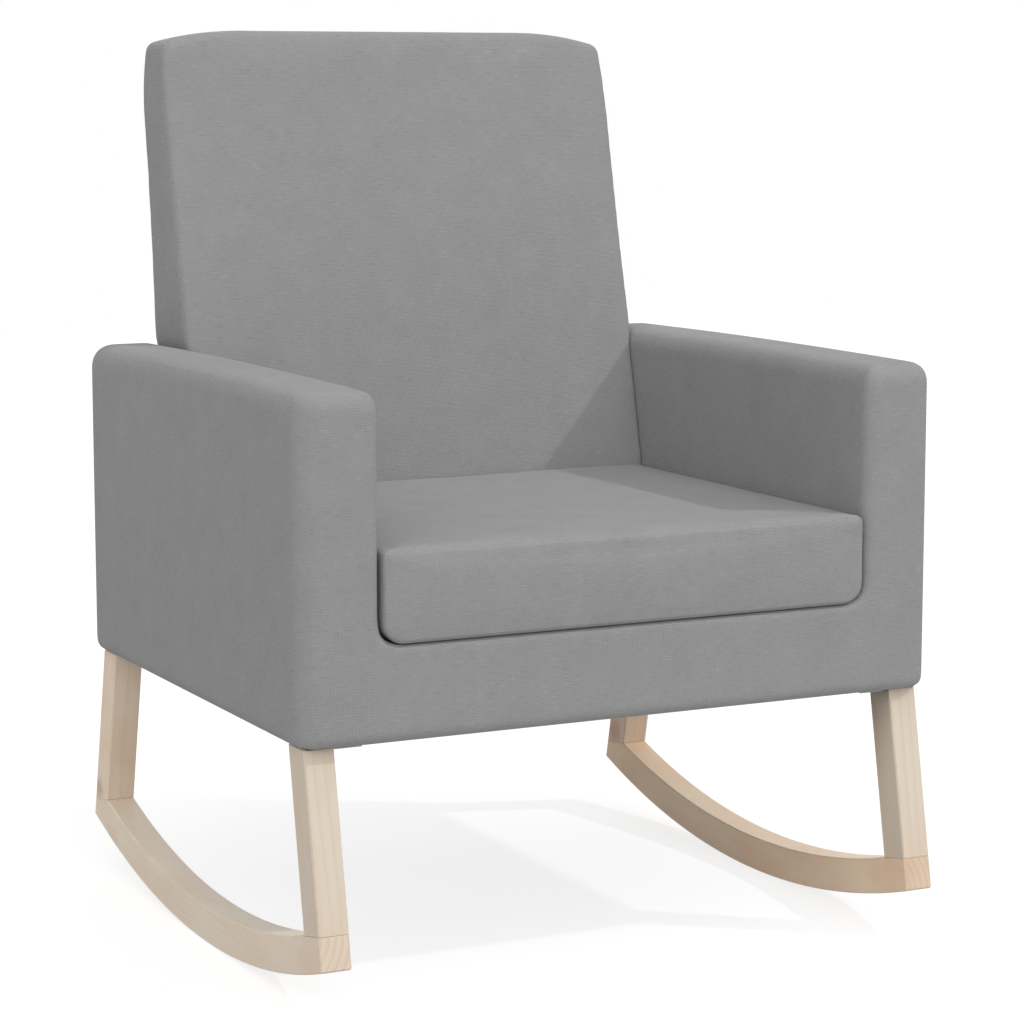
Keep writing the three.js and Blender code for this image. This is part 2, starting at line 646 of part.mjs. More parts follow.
// A slab parallel to the backrest's front face, between two depths behind it.
function rakedSlab([near, far], xs, [zLow, zHigh]) {
  const points = [
    [behindFaceY(near, zLow), zLow],
    [behindFaceY(far, zLow), zLow],
    [behindFaceY(far, zHigh), zHigh],
    [behindFaceY(near, zHigh), zHigh],
  ].map(([y, z]) => new THREE.Vector2(y, z));
  return extrude("x", points, ...xs);
}

const STRAP_BEHIND = FABRIC + GAP + BACK_FOAM_DEPTH + GAP;
const FRAME_BEHIND = STRAP_BEHIND + STRAP.thickness + STRAP.overlap + GAP;

// Foam over the front, the top and both sides of the back frame, open behind and below.
function backFoam() {
  const bottom = BACK_FOOT_Z + FABRIC + GAP;
  const half = STILE.outerX + 4;
  const zs = [bottom - 4 * OVERCUT, STILE.topZ + 6];
  const hollow = rakedSlab([STRAP_BEHIND - GAP, BACK_KNEE.y], [-half, half], zs);
  return backSolid(FABRIC + GAP, bottom).subtract(hollow);
}

// A back bolt lies along X, through the stile into the seat's side rail.
function backBoltY(z) {
  return behindFaceY(FRAME_BEHIND + STILE.depth / 2, z);
}

function backBoltHole(z, side) {
  const foot = at(side * (STILE.innerX - 1), backBoltY(z), z);
  return rod(BACK_BOLT.radius + DRILL, foot, at(side, 0, 0), BACK_BOLT.length + 2);
}

function backStile(side) {
  const depths = [FRAME_BEHIND, FRAME_BEHIND + STILE.depth];
  const xs = [side * STILE.innerX, side * STILE.outerX];
  const board = rakedSlab(depths, xs, [STILE.bottomZ, STILE.topZ]);
  // Near the top the backrest is thinner than the board, so its rear edge follows the rear face.
  const topY = STILE_BEND.y + BACK_REAR_PLANE.rake * (BACK_TOP_Z - STILE_BEND.z);
  const keepIn = extrude(
    "x",
    [
      [0, 0],
      [STILE_BEND.y, 0],
      [STILE_BEND.y, STILE_BEND.z],
      [topY, BACK_TOP_Z],
      [0, BACK_TOP_Z],
    ].map(([y, z]) => new THREE.Vector2(y, z)),
    ...xs,
  );
  const holes = BACK_BOLT.heights.map((z) => backBoltHole(z, side));
  return holes.reduce((left, hole) => left.subtract(hole), board.intersect(keepIn));
}

function backBolt(z, side) {
  const { radius, headRadius, headHeight, length } = BACK_BOLT;
  const foot = at(side * (STILE.innerX - GAP - headHeight), backBoltY(z), z);
  return hexBolt(foot, at(side, 0, 0), radius, headRadius, headHeight, length);
}

// Straps across and down the front of the back frame.
function backWebbing() {
  const half = STRAP.width / 2;
  const rear = [STRAP_BEHIND + STRAP.overlap, FRAME_BEHIND - GAP];
  const front = [STRAP_BEHIND, STRAP_BEHIND + STRAP.thickness];
  const span = STILE.outerX - 3;
  const across = BACK_STRAPS.acrossZ.map((z) =>
    rakedSlab(rear, [-span, span], [z - half, z + half]),
  );
  const down = BACK_STRAPS.downX.map((x) =>
    rakedSlab(front, [x - half, x + half], [BACK_STRAPS.lowZ, STILE.topZ - 8]),
  );
  return [...across, ...down].reduce((net, strap) => net.add(strap));
}

function backrest() {
  const back = new THREE.Group();
  const railDepths = [FRAME_BEHIND, FRAME_BEHIND + BACK_RAIL];
  const railXs = [-STILE.innerX + GAP, STILE.innerX - GAP];
  const { topHeight, bottomZ, bottomHeight } = BACK_RAILS;
  const topRail = rakedSlab(railDepths, railXs, [STILE.topZ - topHeight, STILE.topZ]);
  const bottomRail = rakedSlab(railDepths, railXs, [bottomZ, bottomZ + bottomHeight]);
  back.add(meshOf("back_top_rail", topRail, "frameTimber"));
  back.add(meshOf("back_bottom_rail", bottomRail, "frameTimber"));
  for (const [word, side] of SIDES) {
    back.add(meshOf(`back_stile_${word}`, backStile(side), "frameTimber"));
    BACK_BOLT.heights.forEach((z, i) => {
      back.add(meshOf(`back_bolt_${word}_${i + 1}`, backBolt(z, side), "steel"));
    });
  }
  back.add(meshOf("back_webbing", backWebbing(), "webbing"));
  back.add(meshOf("back_foam", backFoam(), "foam"));
  back.add(meshOf("back_cover", backCover(), "fabric"));
  return back;
}

// ---------------------------------------------------------------- seat cushion

// Box cushion, set in by `inset`, with its rear face raked to lie along the backrest.
function cushionSolid(inset) {
  const half = CUSHION_HALF_WIDTH - inset;
  const low = CUSHION_BOTTOM_Z + inset;
  const top = CUSHION_TOP_Z - inset;
  const front = CUSHION_FRONT_Y + inset;
  const rearY = (z) => behindFaceY(-1 - inset, z);
  const round = (name) => CUSHION_ROUNDS[name] - inset;
  const side = outline([
    [front, low, round("frontBottom")],
    [rearY(low), low],
    [rearY(top), top, round("rearTop")],
    [front, top, round("frontTop")],
  ]);
  const frontView = outline([
    [-half, low, round("lowCorner")],
    [half, low, round("lowCorner")],
    [half, top, round("topEdge")],
    [-half, top, round("topEdge")],
  ]);
  const plan = outline([
    [-half, front, round("plan")],
    [half, front, round("plan")],
    [half, BODY_REAR_Y],
    [-half, BODY_REAR_Y],
  ]);
  return extrude("x", side, -half, half)
    .intersect(extrude("y", frontView, front, BODY_REAR_Y))
    .intersect(extrude("z", plan, low, top));
}

// The cover has its closing slit along the middle of its rear face.
function cushionCover() {
  const { halfWidth, halfHeight, reach } = CUSHION_SLIT;
  const middleZ = (CUSHION_BOTTOM_Z + CUSHION_TOP_Z) / 2;
  const faceY = behindFaceY(0, middleZ);
  const zs = [middleZ - halfHeight, middleZ + halfHeight];
  const slit = block([-halfWidth, halfWidth], [faceY - reach, faceY + reach], zs);
  return cushionSolid(0).subtract(cushionSolid(FABRIC)).subtract(slit);
}

function seatCushion() {
  const cushion = new THREE.Group();
  cushion.add(meshOf("cushion_foam", cushionSolid(FABRIC + GAP), "foam"));
  cushion.add(meshOf("cushion_cover", cushionCover(), "fabric"));
  return cushion;
}

// ---------------------------------------------------------------- the chair

const chair = new THREE.Group();
for (const [word, side] of SIDES) chair.add(rockerFrame(word, side));
chair.add(bodyFrame());
chair.add(meshOf("seat_webbing", seatWebbing(), "webbing"));
chair.add(meshOf("deck_cloth", deckCloth(), "lining"));
chair.add(meshOf("body_foam", bodyFoam(), "foam"));
chair.add(meshOf("body_cover", bodyCover(), "fabric"));
chair.add(meshOf("dust_cover", dustCover(), "lining"));
chair.add(backrest());
chair.add(seatCushion());

export default chair;
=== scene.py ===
# %% [markdown]
# # A padded rocking chair
# The chair is a foam-padded tub on two pine rocker frames, with a raked backrest and a loose
# box cushion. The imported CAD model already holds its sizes, its fixings and its one motion:
# the cushion lifts out. This lesson adds what cloth and wood look like.

# %% Load the frame
import math

import bmesh
import bpy
import numpy as np
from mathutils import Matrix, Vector


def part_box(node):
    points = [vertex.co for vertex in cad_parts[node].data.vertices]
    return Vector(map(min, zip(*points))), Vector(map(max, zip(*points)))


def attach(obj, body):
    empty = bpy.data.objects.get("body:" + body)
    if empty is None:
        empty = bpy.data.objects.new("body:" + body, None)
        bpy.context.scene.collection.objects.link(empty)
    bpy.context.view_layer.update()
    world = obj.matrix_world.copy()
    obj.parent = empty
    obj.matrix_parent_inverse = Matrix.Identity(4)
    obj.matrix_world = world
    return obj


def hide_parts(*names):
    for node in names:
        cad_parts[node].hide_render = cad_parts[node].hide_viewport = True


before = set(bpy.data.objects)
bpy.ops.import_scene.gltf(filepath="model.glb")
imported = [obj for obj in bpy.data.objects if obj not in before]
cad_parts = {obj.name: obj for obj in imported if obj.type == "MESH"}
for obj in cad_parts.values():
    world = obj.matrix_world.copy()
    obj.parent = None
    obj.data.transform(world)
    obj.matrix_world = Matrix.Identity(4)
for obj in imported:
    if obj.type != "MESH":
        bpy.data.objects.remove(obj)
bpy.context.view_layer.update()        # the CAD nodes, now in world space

MM = 0.001
scene = bpy.context.scene

# %% [markdown]
# ## Where we stand
# A long lens from the front left, a little above the arms, keeps the chair's proportions
# calm. The camera is pitched down and has no shift, so it can be moved round the chair
# without pushing it out of the picture.

# %% Camera
CAMERA_PLACE = Vector((-1.3486, -2.7518, 0.8438))
CAMERA_AZIMUTH = math.radians(-26.471)
CAMERA_ELEVATION = math.radians(8.129)
LENS = 105.88
SENSOR_WIDTH = 36


def direction(azimuth, elevation):
    """Unit vector towards somebody at this azimuth (0 is in front) and elevation."""
    level = math.cos(elevation)
    return Vector((math.sin(azimuth) * level, -math.cos(azimuth) * level, math.sin(elevation)))


def make_camera():
    data = bpy.data.cameras.new("camera")
    data.sensor_width = SENSOR_WIDTH
    data.lens = LENS
    camera = bpy.data.objects.new("camera", data)
    scene.collection.objects.link(camera)
    camera.location = CAMERA_PLACE
    back = direction(CAMERA_AZIMUTH, CAMERA_ELEVATION)
    camera.rotation_mode = "QUATERNION"
    camera.rotation_quaternion = (-back).to_track_quat("-Z", "Y")
    scene.camera = camera


make_camera()
scene.view_settings.view_transform = "Standard"
print("camera", tuple(scene.camera.location))

# %% [markdown]
# ## Soft studio light
# One small lamp high on the right draws the crisp shadow of the right arm across the back
# and the seat. A very wide lamp above the camera lifts the faces that look forwards and up,
# and one overhead keeps the seat and the arm tops the lightest. A low panel on the left
# reaches in under the arms and between the legs, and a lamp behind keeps the rear from
# going dull.

# %% Lamps
KEY_LAMP = {"toward": (0.628, -0.375, 0.682), "strength": 1.05, "angle": 2.5}
WIDE_LAMP = {"toward": (-0.05, -0.62, 0.78), "strength": 0.95, "angle": 80}
OVERHEAD = {"toward": (-0.15, 0.0, 1.0), "strength": 0.48, "angle": 60}
LOW_PANEL = {"toward": (-0.6, -0.75, 0.25), "strength": 1.55, "angle": 90}
BACK_LAMP = {"toward": (0.35, 0.88, 0.32), "strength": 0.75, "angle": 60}


def make_sun(name, toward, strength, angle):
    data = bpy.data.lights.new(name, "SUN")
    data.energy = strength
    data.angle = math.radians(angle)
    lamp = bpy.data.objects.new(name, data)
    scene.collection.objects.link(lamp)
    lamp.rotation_mode = "QUATERNION"
    lamp.rotation_quaternion = Vector(toward).to_track_quat("Z", "Y")


make_sun("key_lamp", **KEY_LAMP)
make_sun("wide_lamp", **WIDE_LAMP)
make_sun("overhead", **OVERHEAD)
make_sun("low_panel", **LOW_PANEL)
make_sun("back_lamp", **BACK_LAMP)
print("lamps", [lamp.name for lamp in bpy.data.lights])

# %% [markdown]
# ## White to the eye only
# The pale surroundings fill the shadows and leave the left side the darkest. Surroundings
# and a floor as bright as they look would wash the chair out, so what the eye sees and what
# lights the chair are two different strengths, chosen with the Light Path node.

# %% Surroundings and floor
SURROUNDINGS = 0.26
SURROUNDINGS_SEEN = 1.0
FLOOR_SIZE = 14
FLOOR = {"tone": 0.5, "glow": 0.10}
FLOOR_SEEN = {"tone": 0.3, "glow": 0.78}


def seen_directly(tree):
    """A socket that is 1 where the ray comes from the eye, a mirror or a glass."""
    path = tree.nodes.new("ShaderNodeLightPath")
    total = path.outputs["Is Camera Ray"]
    for other in ("Is Glossy Ray", "Is Transmission Ray"):
        larger = tree.nodes.new("ShaderNodeMath")
        larger.operation = "MAXIMUM"
        tree.links.new(total, larger.inputs[0])
        tree.links.new(path.outputs[other], larger.inputs[1])
        total = larger.outputs[0]
    return total


def make_world():
    world = bpy.data.worlds.new("studio")
    world.use_nodes = True
    scene.world = world
    tree = world.node_tree
    strength = tree.nodes.new("ShaderNodeMapRange")
    strength.inputs["To Min"].default_value = SURROUNDINGS
    strength.inputs["To Max"].default_value = SURROUNDINGS_SEEN
    tree.links.new(seen_directly(tree), strength.inputs["Value"])
    background = tree.nodes["Background"]
    background.inputs["Color"].default_value = (1, 1, 1, 1)
    tree.links.new(strength.outputs["Result"], background.inputs["Strength"])


def dull_and_glowing(tree, tone, glow):
    """A shader output: a matt surface of this grey that also gives off some light."""
    matt = tree.nodes.new("ShaderNodeBsdfDiffuse")
    matt.inputs["Color"].default_value = (tone, tone, tone, 1)
    lift = tree.nodes.new("ShaderNodeEmission")
    lift.inputs["Strength"].default_value = glow
    both = tree.nodes.new("ShaderNodeAddShader")
    tree.links.new(matt.outputs[0], both.inputs[0])
    tree.links.new(lift.outputs[0], both.inputs[1])
    return both.outputs[0]


def make_floor():
    """A pale floor: to the eye it glows just enough to be white, and still takes a shadow."""
    bpy.ops.mesh.primitive_plane_add(size=FLOOR_SIZE)
    floor = bpy.context.object
    floor.name = "studio_floor"
    material = bpy.data.materials.new("studio_floor")
    material.use_nodes = True
    tree = material.node_tree
    tree.nodes.remove(tree.nodes["Principled BSDF"])
    choose = tree.nodes.new("ShaderNodeMixShader")
    tree.links.new(seen_directly(tree), choose.inputs[0])
    tree.links.new(dull_and_glowing(tree, **FLOOR), choose.inputs[1])
    tree.links.new(dull_and_glowing(tree, **FLOOR_SEEN), choose.inputs[2])
    tree.links.new(choose.outputs[0], tree.nodes["Material Output"].inputs["Surface"])
    floor.data.materials.append(material)


make_world()
make_floor()
print("surroundings:", scene.world.name, "and a floor of", FLOOR_SIZE, "m")

# %% [markdown]
# ## A finish is a small circuit
# Every finish starts from where a point lies on the piece, in metres, so threads and growth
# rings keep their true size. This class only shortens the writing: it adds nodes, joins
# them, and ends in one Principled shader.


# %% Finish, a material with short ways to add nodes
class Finish:
    """A material, its shader, and helpers that return the output socket of a new node."""

    def __init__(self, name, **constants):
        self.material = bpy.data.materials.new(name)
        self.material.use_nodes = True
        self.tree = self.material.node_tree
        self.shader = self.tree.nodes["Principled BSDF"]
        for socket, value in constants.items():
            self.shader.inputs[socket.replace("_", " ")].default_value = value
        spot = self.tree.nodes.new("ShaderNodeTexCoord")
        self.place = spot.outputs["Object"]
        self.facing = spot.outputs["Normal"]

    def add(self, kind, values, **settings):
        node = self.tree.nodes.new(kind)
        for key, value in settings.items():
            setattr(node, key, value)
        for key, value in values.items():
            if isinstance(value, bpy.types.NodeSocket):
                self.tree.links.new(value, node.inputs[key])
            else:
                node.inputs[key].default_value = value
        return node

    def math(self, operation, *values):
        return self.add("ShaderNodeMath", dict(enumerate(values)), operation=operation).outputs[0]

    def axes(self, vector):
        return self.add("ShaderNodeSeparateXYZ", {0: vector}).outputs

    def vector(self, x, y, z=0.0):
        return self.add("ShaderNodeCombineXYZ", {0: x, 1: y, 2: z}).outputs[0]

    def mapped(self, vector, scale=(1, 1, 1), move=(0, 0, 0), turn=(0, 0, 0)):
        values = {"Vector": vector, "Scale": scale, "Location": move, "Rotation": turn}
        return self.add("ShaderNodeMapping", values).outputs[0]

    def noise(self, vector, scale, detail):
        values = {"Vector": vector, "Scale": scale, "Detail": detail}
        return self.add("ShaderNodeTexNoise", values).outputs[0]

    def cells(self, vector, scale):
        return self.add("ShaderNodeTexVoronoi", {"Vector": vector, "Scale": scale}).outputs[0]

    def span(self, value, low, high, to_low=0.0, to_high=1.0):
        values = {0: value, 1: low, 2: high, 3: to_low, 4: to_high}
        return self.add("ShaderNodeMapRange", values).outputs[0]

    def mix(self, share, first, second):
        values = {0: share, 6: (*first, 1) if isinstance(first, tuple) else first}
        values[7] = (*second, 1) if isinstance(second, tuple) else second
        return self.add("ShaderNodeMix", values, data_type="RGBA").outputs[2]

    def brighten(self, color, factor):
        """The colour multiplied by a socket that is about 1."""
        values = {0: 1.0, 6: color, 7: factor}
        node = self.add("ShaderNodeMix", values, data_type="RGBA", blend_type="MULTIPLY")
        return node.outputs[2]

    def done(self, color, roughness, height, depth):
        """Joins colour, roughness and a bump `depth` metres deep to the shader."""
        bump = self.add("ShaderNodeBump", {"Height": height, "Distance": depth})
        self.tree.links.new(color, self.shader.inputs["Base Color"])
        self.tree.links.new(roughness, self.shader.inputs["Roughness"])
        self.tree.links.new(bump.outputs[0], self.shader.inputs["Normal"])
        return self.material


print("finish helper ready")

# %% [markdown]
# ## The cover cloth
# The cover is a mid grey plain weave in a linen style: every thread goes over one and under
# the next, so light and dark dots alternate like a chessboard. Linen yarn is uneven, and
# its thick places, called slubs, show as short pale or dark dashes along the weft.
#
# An image would have to be unwrapped over every rounded edge. Threads made of sine waves
# need no unwrapping: the cloth is laid on each face along the two axes that the face spans.

# %% Cover cloth
THREAD = 1.4 * MM
CLOTH_GREY = (0.300, 0.300, 0.301)


def laid_flat(finish):
    """(along, up) on the cloth, taken from the two axes that the surface spans."""
    x, y, z = finish.axes(finish.place)
    side, front, top = (finish.math("ABSOLUTE", n) for n in finish.axes(finish.facing))
    on_side = finish.math("GREATER_THAN", side, finish.math("MAXIMUM", front, top))
    on_top = finish.math("GREATER_THAN", top, finish.math("MAXIMUM", front, side))
    along = finish.math("MULTIPLY_ADD", finish.math("SUBTRACT", y, x), on_side, x)
    up = finish.math("MULTIPLY_ADD", finish.math("SUBTRACT", y, z), on_top, z)
    return along, up


def wandering(finish, value, seed):
    """The coordinate moved by up to a third of a thread, as hand-like yarn wanders."""
    drift = finish.noise(finish.mapped(finish.place, move=(seed, seed, 0)), 140, 1.0)
    return finish.math("MULTIPLY_ADD", drift, 0.7 * THREAD, value)


def slubs(finish, along, up, length, width):
    """Dashes `length` by `width`: about +1 on a thick place and -1 on a thin one."""
    stretched = finish.vector(finish.math("DIVIDE", along, length), finish.math("DIVIDE", up, width))
    grain = finish.noise(stretched, 1.0, 1.5)
    pale = finish.span(grain, 0.60, 0.74)
    dark = finish.span(grain, 0.40, 0.26)
    return finish.math("SUBTRACT", pale, dark)


def make_cover_cloth():
    cloth = Finish("cover_cloth", Sheen_Weight=0.10, Sheen_Roughness=0.45)
    cloth.shader.inputs["Specular IOR Level"].default_value = 0.22
    along, up = laid_flat(cloth)
    turn = math.pi / THREAD
    warp = cloth.math("SINE", cloth.math("MULTIPLY", wandering(cloth, along, 3.0), turn))
    weft = cloth.math("SINE", cloth.math("MULTIPLY", wandering(cloth, up, 7.0), turn))
    checks = cloth.math("MULTIPLY", warp, weft)
    dashes = slubs(cloth, along, up, 11 * MM, 1.1 * MM)
    uprights = slubs(cloth, up, along, 9 * MM, 1.2 * MM)
    clouds = cloth.noise(cloth.place, 26, 3.0)
    tone = cloth.math("MULTIPLY_ADD", checks, 0.19, 1.0)
    tone = cloth.math("MULTIPLY_ADD", dashes, 0.17, tone)
    tone = cloth.math("MULTIPLY_ADD", uprights, 0.06, tone)
    tone = cloth.math("ADD", tone, cloth.span(clouds, 0.3, 0.7, -0.030, 0.030))
    grey = cloth.brighten((*CLOTH_GREY, 1), cloth.vector(tone, tone, tone))
    height = cloth.math("MULTIPLY_ADD", dashes, 0.35, cloth.math("ABSOLUTE", checks))
    roughness = cloth.span(cloth.math("ABSOLUTE", checks), 0, 1, 0.97, 0.86)
    return cloth.done(grey, roughness, height, 0.38 * MM)


cover_cloth = make_cover_cloth()
print("cover cloth: thread", THREAD / MM, "mm")

# %% [markdown]
# ## Lining, foam and webbing
# These are the materials you only meet when the cushion is out or the chair lies on its
# back. Lining is a spun cloth, pressed together in a grid of small points. Foam is cut from
# a block, so its skin is all open cells. Webbing is a woven strap with raised ribs.


# %% Lining, foam and webbing
def make_lining():
    lining = Finish("lining_cloth", Sheen_Weight=0.15)
    along, up = laid_flat(lining)
    fibres = lining.noise(lining.place, 1400, 3.0)
    turn = math.pi / (2.2 * MM)
    points = lining.math(
        "MULTIPLY",
        lining.math("SINE", lining.math("MULTIPLY", along, turn)),
        lining.math("SINE", lining.math("MULTIPLY", up, turn)),
    )
    shade = lining.mix(fibres, (0.018, 0.018, 0.020), (0.045, 0.045, 0.048))
    roughness = lining.span(fibres, 0.3, 0.7, 0.80, 0.95)
    height = lining.math("ADD", lining.math("ABSOLUTE", points), fibres)
    return lining.done(shade, roughness, height, 0.20 * MM)


def make_foam():
    foam = Finish("seat_foam")
    holes = foam.cells(foam.place, 620)
    age = foam.noise(foam.place, 14, 3.0)
    shade = foam.mix(age, (0.72, 0.64, 0.40), (0.84, 0.79, 0.58))
    # Painted shade: the colour is darker in a small spot in each cell, where the pore's hollow would lie in
    # shade.
    shade = foam.mix(foam.span(holes, 0.0, 0.5, 0.45, 0.0), shade, (0.45, 0.37, 0.20))
    return foam.done(shade, foam.span(holes, 0, 1, 0.98, 0.85), holes, 0.6 * MM)


def make_webbing():
    strap = Finish("elastic_webbing", Sheen_Weight=0.10)
    x, y, z = strap.axes(strap.place)
    ribs = strap.math("SINE", strap.math("MULTIPLY", strap.math("ADD", x, y), math.pi / (1.6 * MM)))
    wear = strap.noise(strap.place, 90, 2.0)
    shade = strap.mix(wear, (0.035, 0.035, 0.038), (0.075, 0.075, 0.080))
    return strap.done(shade, strap.span(wear, 0.3, 0.7, 0.75, 0.92), ribs, 0.4 * MM)


lining_cloth = make_lining()
seat_foam = make_foam()
elastic_webbing = make_webbing()
print("hidden soft finishes ready")

# %% [markdown]
# ## Wood is solid
# A board is a piece of a cone of growth rings, so its colour is best worked out in three
# dimensions. We set a pith line along the board, a little outside it, and measure every
# point's distance from that line. Long lines then show on the faces and arcs on the ends,
# and a curved runner cuts through straight grain near its tips by itself.
#
# Pine is pale and slightly pink. Its late wood is a thin darker line that starts softly and
# ends sharply. A few small knots show where a branch grew.


# %% Growth rings
def ring_lines(wood, board, spacing):
    """1 on the late wood of each ring and 0 between, for a board whose length is local Z."""
    long_wave = wood.noise(wood.mapped(board, scale=(9, 9, 1.6)), 1.0, 2.0)
    x, y, _ = wood.axes(board)
    bend = wood.math("MULTIPLY_ADD", long_wave, 2.6 * spacing, -1.3 * spacing)
    radius = wood.math("SQRT", wood.math("ADD", wood.math("POWER", x, 2.0), wood.math("POWER", y, 2.0)))
    years = wood.math("DIVIDE", wood.math("ADD", radius, bend), spacing)
    return wood.math("POWER", wood.math("FRACT", years), 3.2)


def near(wood, spot, radius):
    """1 around a spot of the chair, 0 beyond about `radius`, with a ragged edge."""
    shifted = wood.mapped(wood.place, move=tuple(-value for value in spot))
    distance = wood.add("ShaderNodeVectorMath", {0: shifted}, operation="LENGTH").outputs["Value"]
    ragged = wood.math("MULTIPLY_ADD", wood.noise(wood.place, 70, 2.0), 0.8 * radius, distance)
    return wood.span(ragged, 1.5 * radius, 0.7 * radius)


def slanted_lines(wood, slope, spacing):
    """Grain that leaves the board's direction, as it does where a branch pushed it aside."""
    _, y, z = wood.axes(wood.place)
    level = wood.math("MULTIPLY_ADD", y, slope, z)
    bend = wood.noise(wood.mapped(wood.place, scale=(30, 30, 30)), 1.0, 2.0)
    level = wood.math("MULTIPLY_ADD", bend, 2.5 * spacing, level)
    return wood.math("POWER", wood.math("FRACT", wood.math("DIVIDE", level, spacing)), 2.0)


def make_wood(
    name, tones, spacing, move, turn, contrast, knots=(), figures=(), end_shade=0.0, gloss=0.5
):
    """Solid wood. `turn` lays the board's length along local Z, `move` sets the pith beside it.

    `tones` are the pale, the late-wood and the blush colour. `knots` and `figures` are
    spots of the chair, each with a radius. `contrast` is the strength of the rings, and
    `end_shade` darkens the sawn end, which soaks up more light than a planed face.
    """
    pale, late, blush = tones
    wood = Finish(name)
    wood.shader.inputs["Specular IOR Level"].default_value = 0.35
    board = wood.mapped(wood.place, turn=turn, move=move)
    rings = ring_lines(wood, board, spacing)
    fibres = wood.noise(wood.mapped(board, scale=(900, 900, 22)), 1.0, 2.0)
    clouds = wood.noise(wood.mapped(board, scale=(20, 20, 9)), 1.0, 2.0)
    shade = wood.mix(wood.span(clouds, 0.38, 0.64), pale, blush)
    across = wood.math("ABSOLUTE", wood.axes(wood.facing)[1])
    sawn = wood.math("POWER", across, 6.0)
    end_grain = wood.math("MULTIPLY", sawn, 1.3 * contrast)
    strength = wood.math("MULTIPLY_ADD", wood.noise(board, 20, 1.0), contrast, end_grain)
    shade = wood.mix(wood.math("MULTIPLY", rings, strength), shade, late)
    shade = wood.mix(wood.span(fibres, 0.52, 0.78, 0.0, 0.16), shade, late)
    height = wood.math("SUBTRACT", fibres, wood.math("MULTIPLY", rings, 0.5))
    for spot, radius in figures:
        lines = wood.math("MULTIPLY_ADD", slanted_lines(wood, 0.9, 4 * MM), 0.75, 0.25)
        on_side = wood.math("SUBTRACT", 0.85, wood.math("MULTIPLY", sawn, 0.7))
        share = wood.math("MULTIPLY", near(wood, spot, radius), wood.math("MULTIPLY", lines, on_side))
        shade = wood.mix(share, shade, late)
    for spot, radius in knots:
        heart = wood.mix(fibres, (0.50, 0.29, 0.20), (0.64, 0.42, 0.32))
        shade = wood.mix(wood.math("MULTIPLY", near(wood, spot, radius), 0.8), shade, heart)
    shade = wood.mix(wood.math("MULTIPLY", sawn, end_shade), shade, (0.0, 0.0, 0.0))
    roughness = wood.span(rings, 0, 1, gloss + 0.10, gloss - 0.06)
    return wood.done(shade, roughness, height, 0.12 * MM)


print("wood builder ready")

# %% [markdown]
# ## One finish for each board
# Two boards cut from different planks never match. Each runner and leg gets its own pith
# line, and the rear legs their reddish knots just above the joint. A leg's length leans in
# the side view, so its finish is turned by the same angle. The left runner's pith lies
# outside the chair and the right one's inside, so their arcs curve opposite ways.
# The tones differ partly as real boards do and partly as painted light: the front legs are
# painted darker where the front lamps fall fully on them, and the right runner is painted
# paler to lift the shade on its inner side.

# %% Pine boards
# Painted light in these tones: the front legs' cream is painted darker because the front lamps light them
# fully, and the right runner's rose is painted paler because its inner side lies in shade. The pink of the
# rear legs and runners is the wood's own.
PINE_CREAM_PAINTED_SHADE = ((0.640, 0.562, 0.460), (0.540, 0.390, 0.285), (0.635, 0.525, 0.412))
PINE_SAND = ((0.800, 0.700, 0.575), (0.650, 0.475, 0.355), (0.780, 0.640, 0.505))
PINE_PINK = ((0.780, 0.645, 0.505), (0.620, 0.420, 0.300), (0.750, 0.570, 0.430))
PINE_ROSE_PAINTED_LIGHT = ((0.865, 0.695, 0.515), (0.685, 0.453, 0.306), (0.835, 0.615, 0.438))
ALONG_Y = (math.radians(90), 0, 0)
RUNNERS = {
    "left": {"tones": PINE_SAND, "end_shade": 0.18, "move": (0.375, 0.085, 0.0)},
    # Sawn ends are darker on both runners. The right one's stronger end darkening also takes its painted
    # paler tone back off its sawn ends, which face the lamps.
    "right": {"tones": PINE_ROSE_PAINTED_LIGHT, "end_shade": 0.27, "move": (-0.262, 0.052, 0.4)},
}
REAR_KNOTS = {
    "left": {"forward": -7 * MM, "up": 10 * MM, "radius": 15 * MM},
    "right": {"forward": -2 * MM, "up": 14 * MM, "radius": 19 * MM},
}


def board_lean(node):
    """A leg's lean, in radians from upright, from its lowest and highest corners."""
    points = np.array([v.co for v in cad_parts[node].data.vertices])
    low, high = points[:, 2].min(), points[:, 2].max()
    foot = points[points[:, 2] < low + 12 * MM, 1].mean()
    head = points[points[:, 2] > high - 1 * MM, 1].mean()
    return math.atan2(head - foot, high - low)


def profile_corners(node):
    """The (y, z) corners of a board's outer face, lowest first."""
    points = np.array([v.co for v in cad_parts[node].data.vertices])
    outer = np.abs(points[:, 0]).max()
    on_face = points[np.abs(np.abs(points[:, 0]) - outer) < 1e-5][:, 1:]
    unique = np.unique(np.round(on_face, 6), axis=0)
    return unique[np.argsort(unique[:, 1])]


def spot_near_seam(node, forward, up):
    """A spot on a leg's left face, measured from the middle of its joint with the runner."""
    low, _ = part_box(node)
    y, z = profile_corners(node)[:2].mean(0)
    return (low.x, y - forward, z + up)


def runner_pine(side):
    """Strong rings, with a pinkish figure at the front tip and another near the rear one."""
    tip = spot_near_seam(f"front_leg_{side}", 4 * MM, -20 * MM)
    rear = spot_near_seam(f"rear_leg_{side}", 30 * MM, -42 * MM)
    figures = [(tip, 52 * MM), (rear, 30 * MM)]
    own = RUNNERS[side]
    return make_wood(
        f"pine_runner_{side}", own["tones"], 7 * MM, own["move"], ALONG_Y,
        contrast=0.38, figures=figures, end_shade=own["end_shade"],
    )


def leg_pine(node, side, tones, pith_ahead, knots):
    """Faint rings. The pith lies 50 mm nearer the chair's middle, `pith_ahead` of the leg."""
    low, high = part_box(node)
    middle = (low + high) / 2
    inwards = 0.050 if side == "right" else -0.050
    move = (-middle.x + inwards, -middle.y + pith_ahead, 0)
    turn = (board_lean(node), 0, 0)
    return make_wood(f"pine_{node}", tones, 9 * MM, move, turn, contrast=0.18, knots=knots)


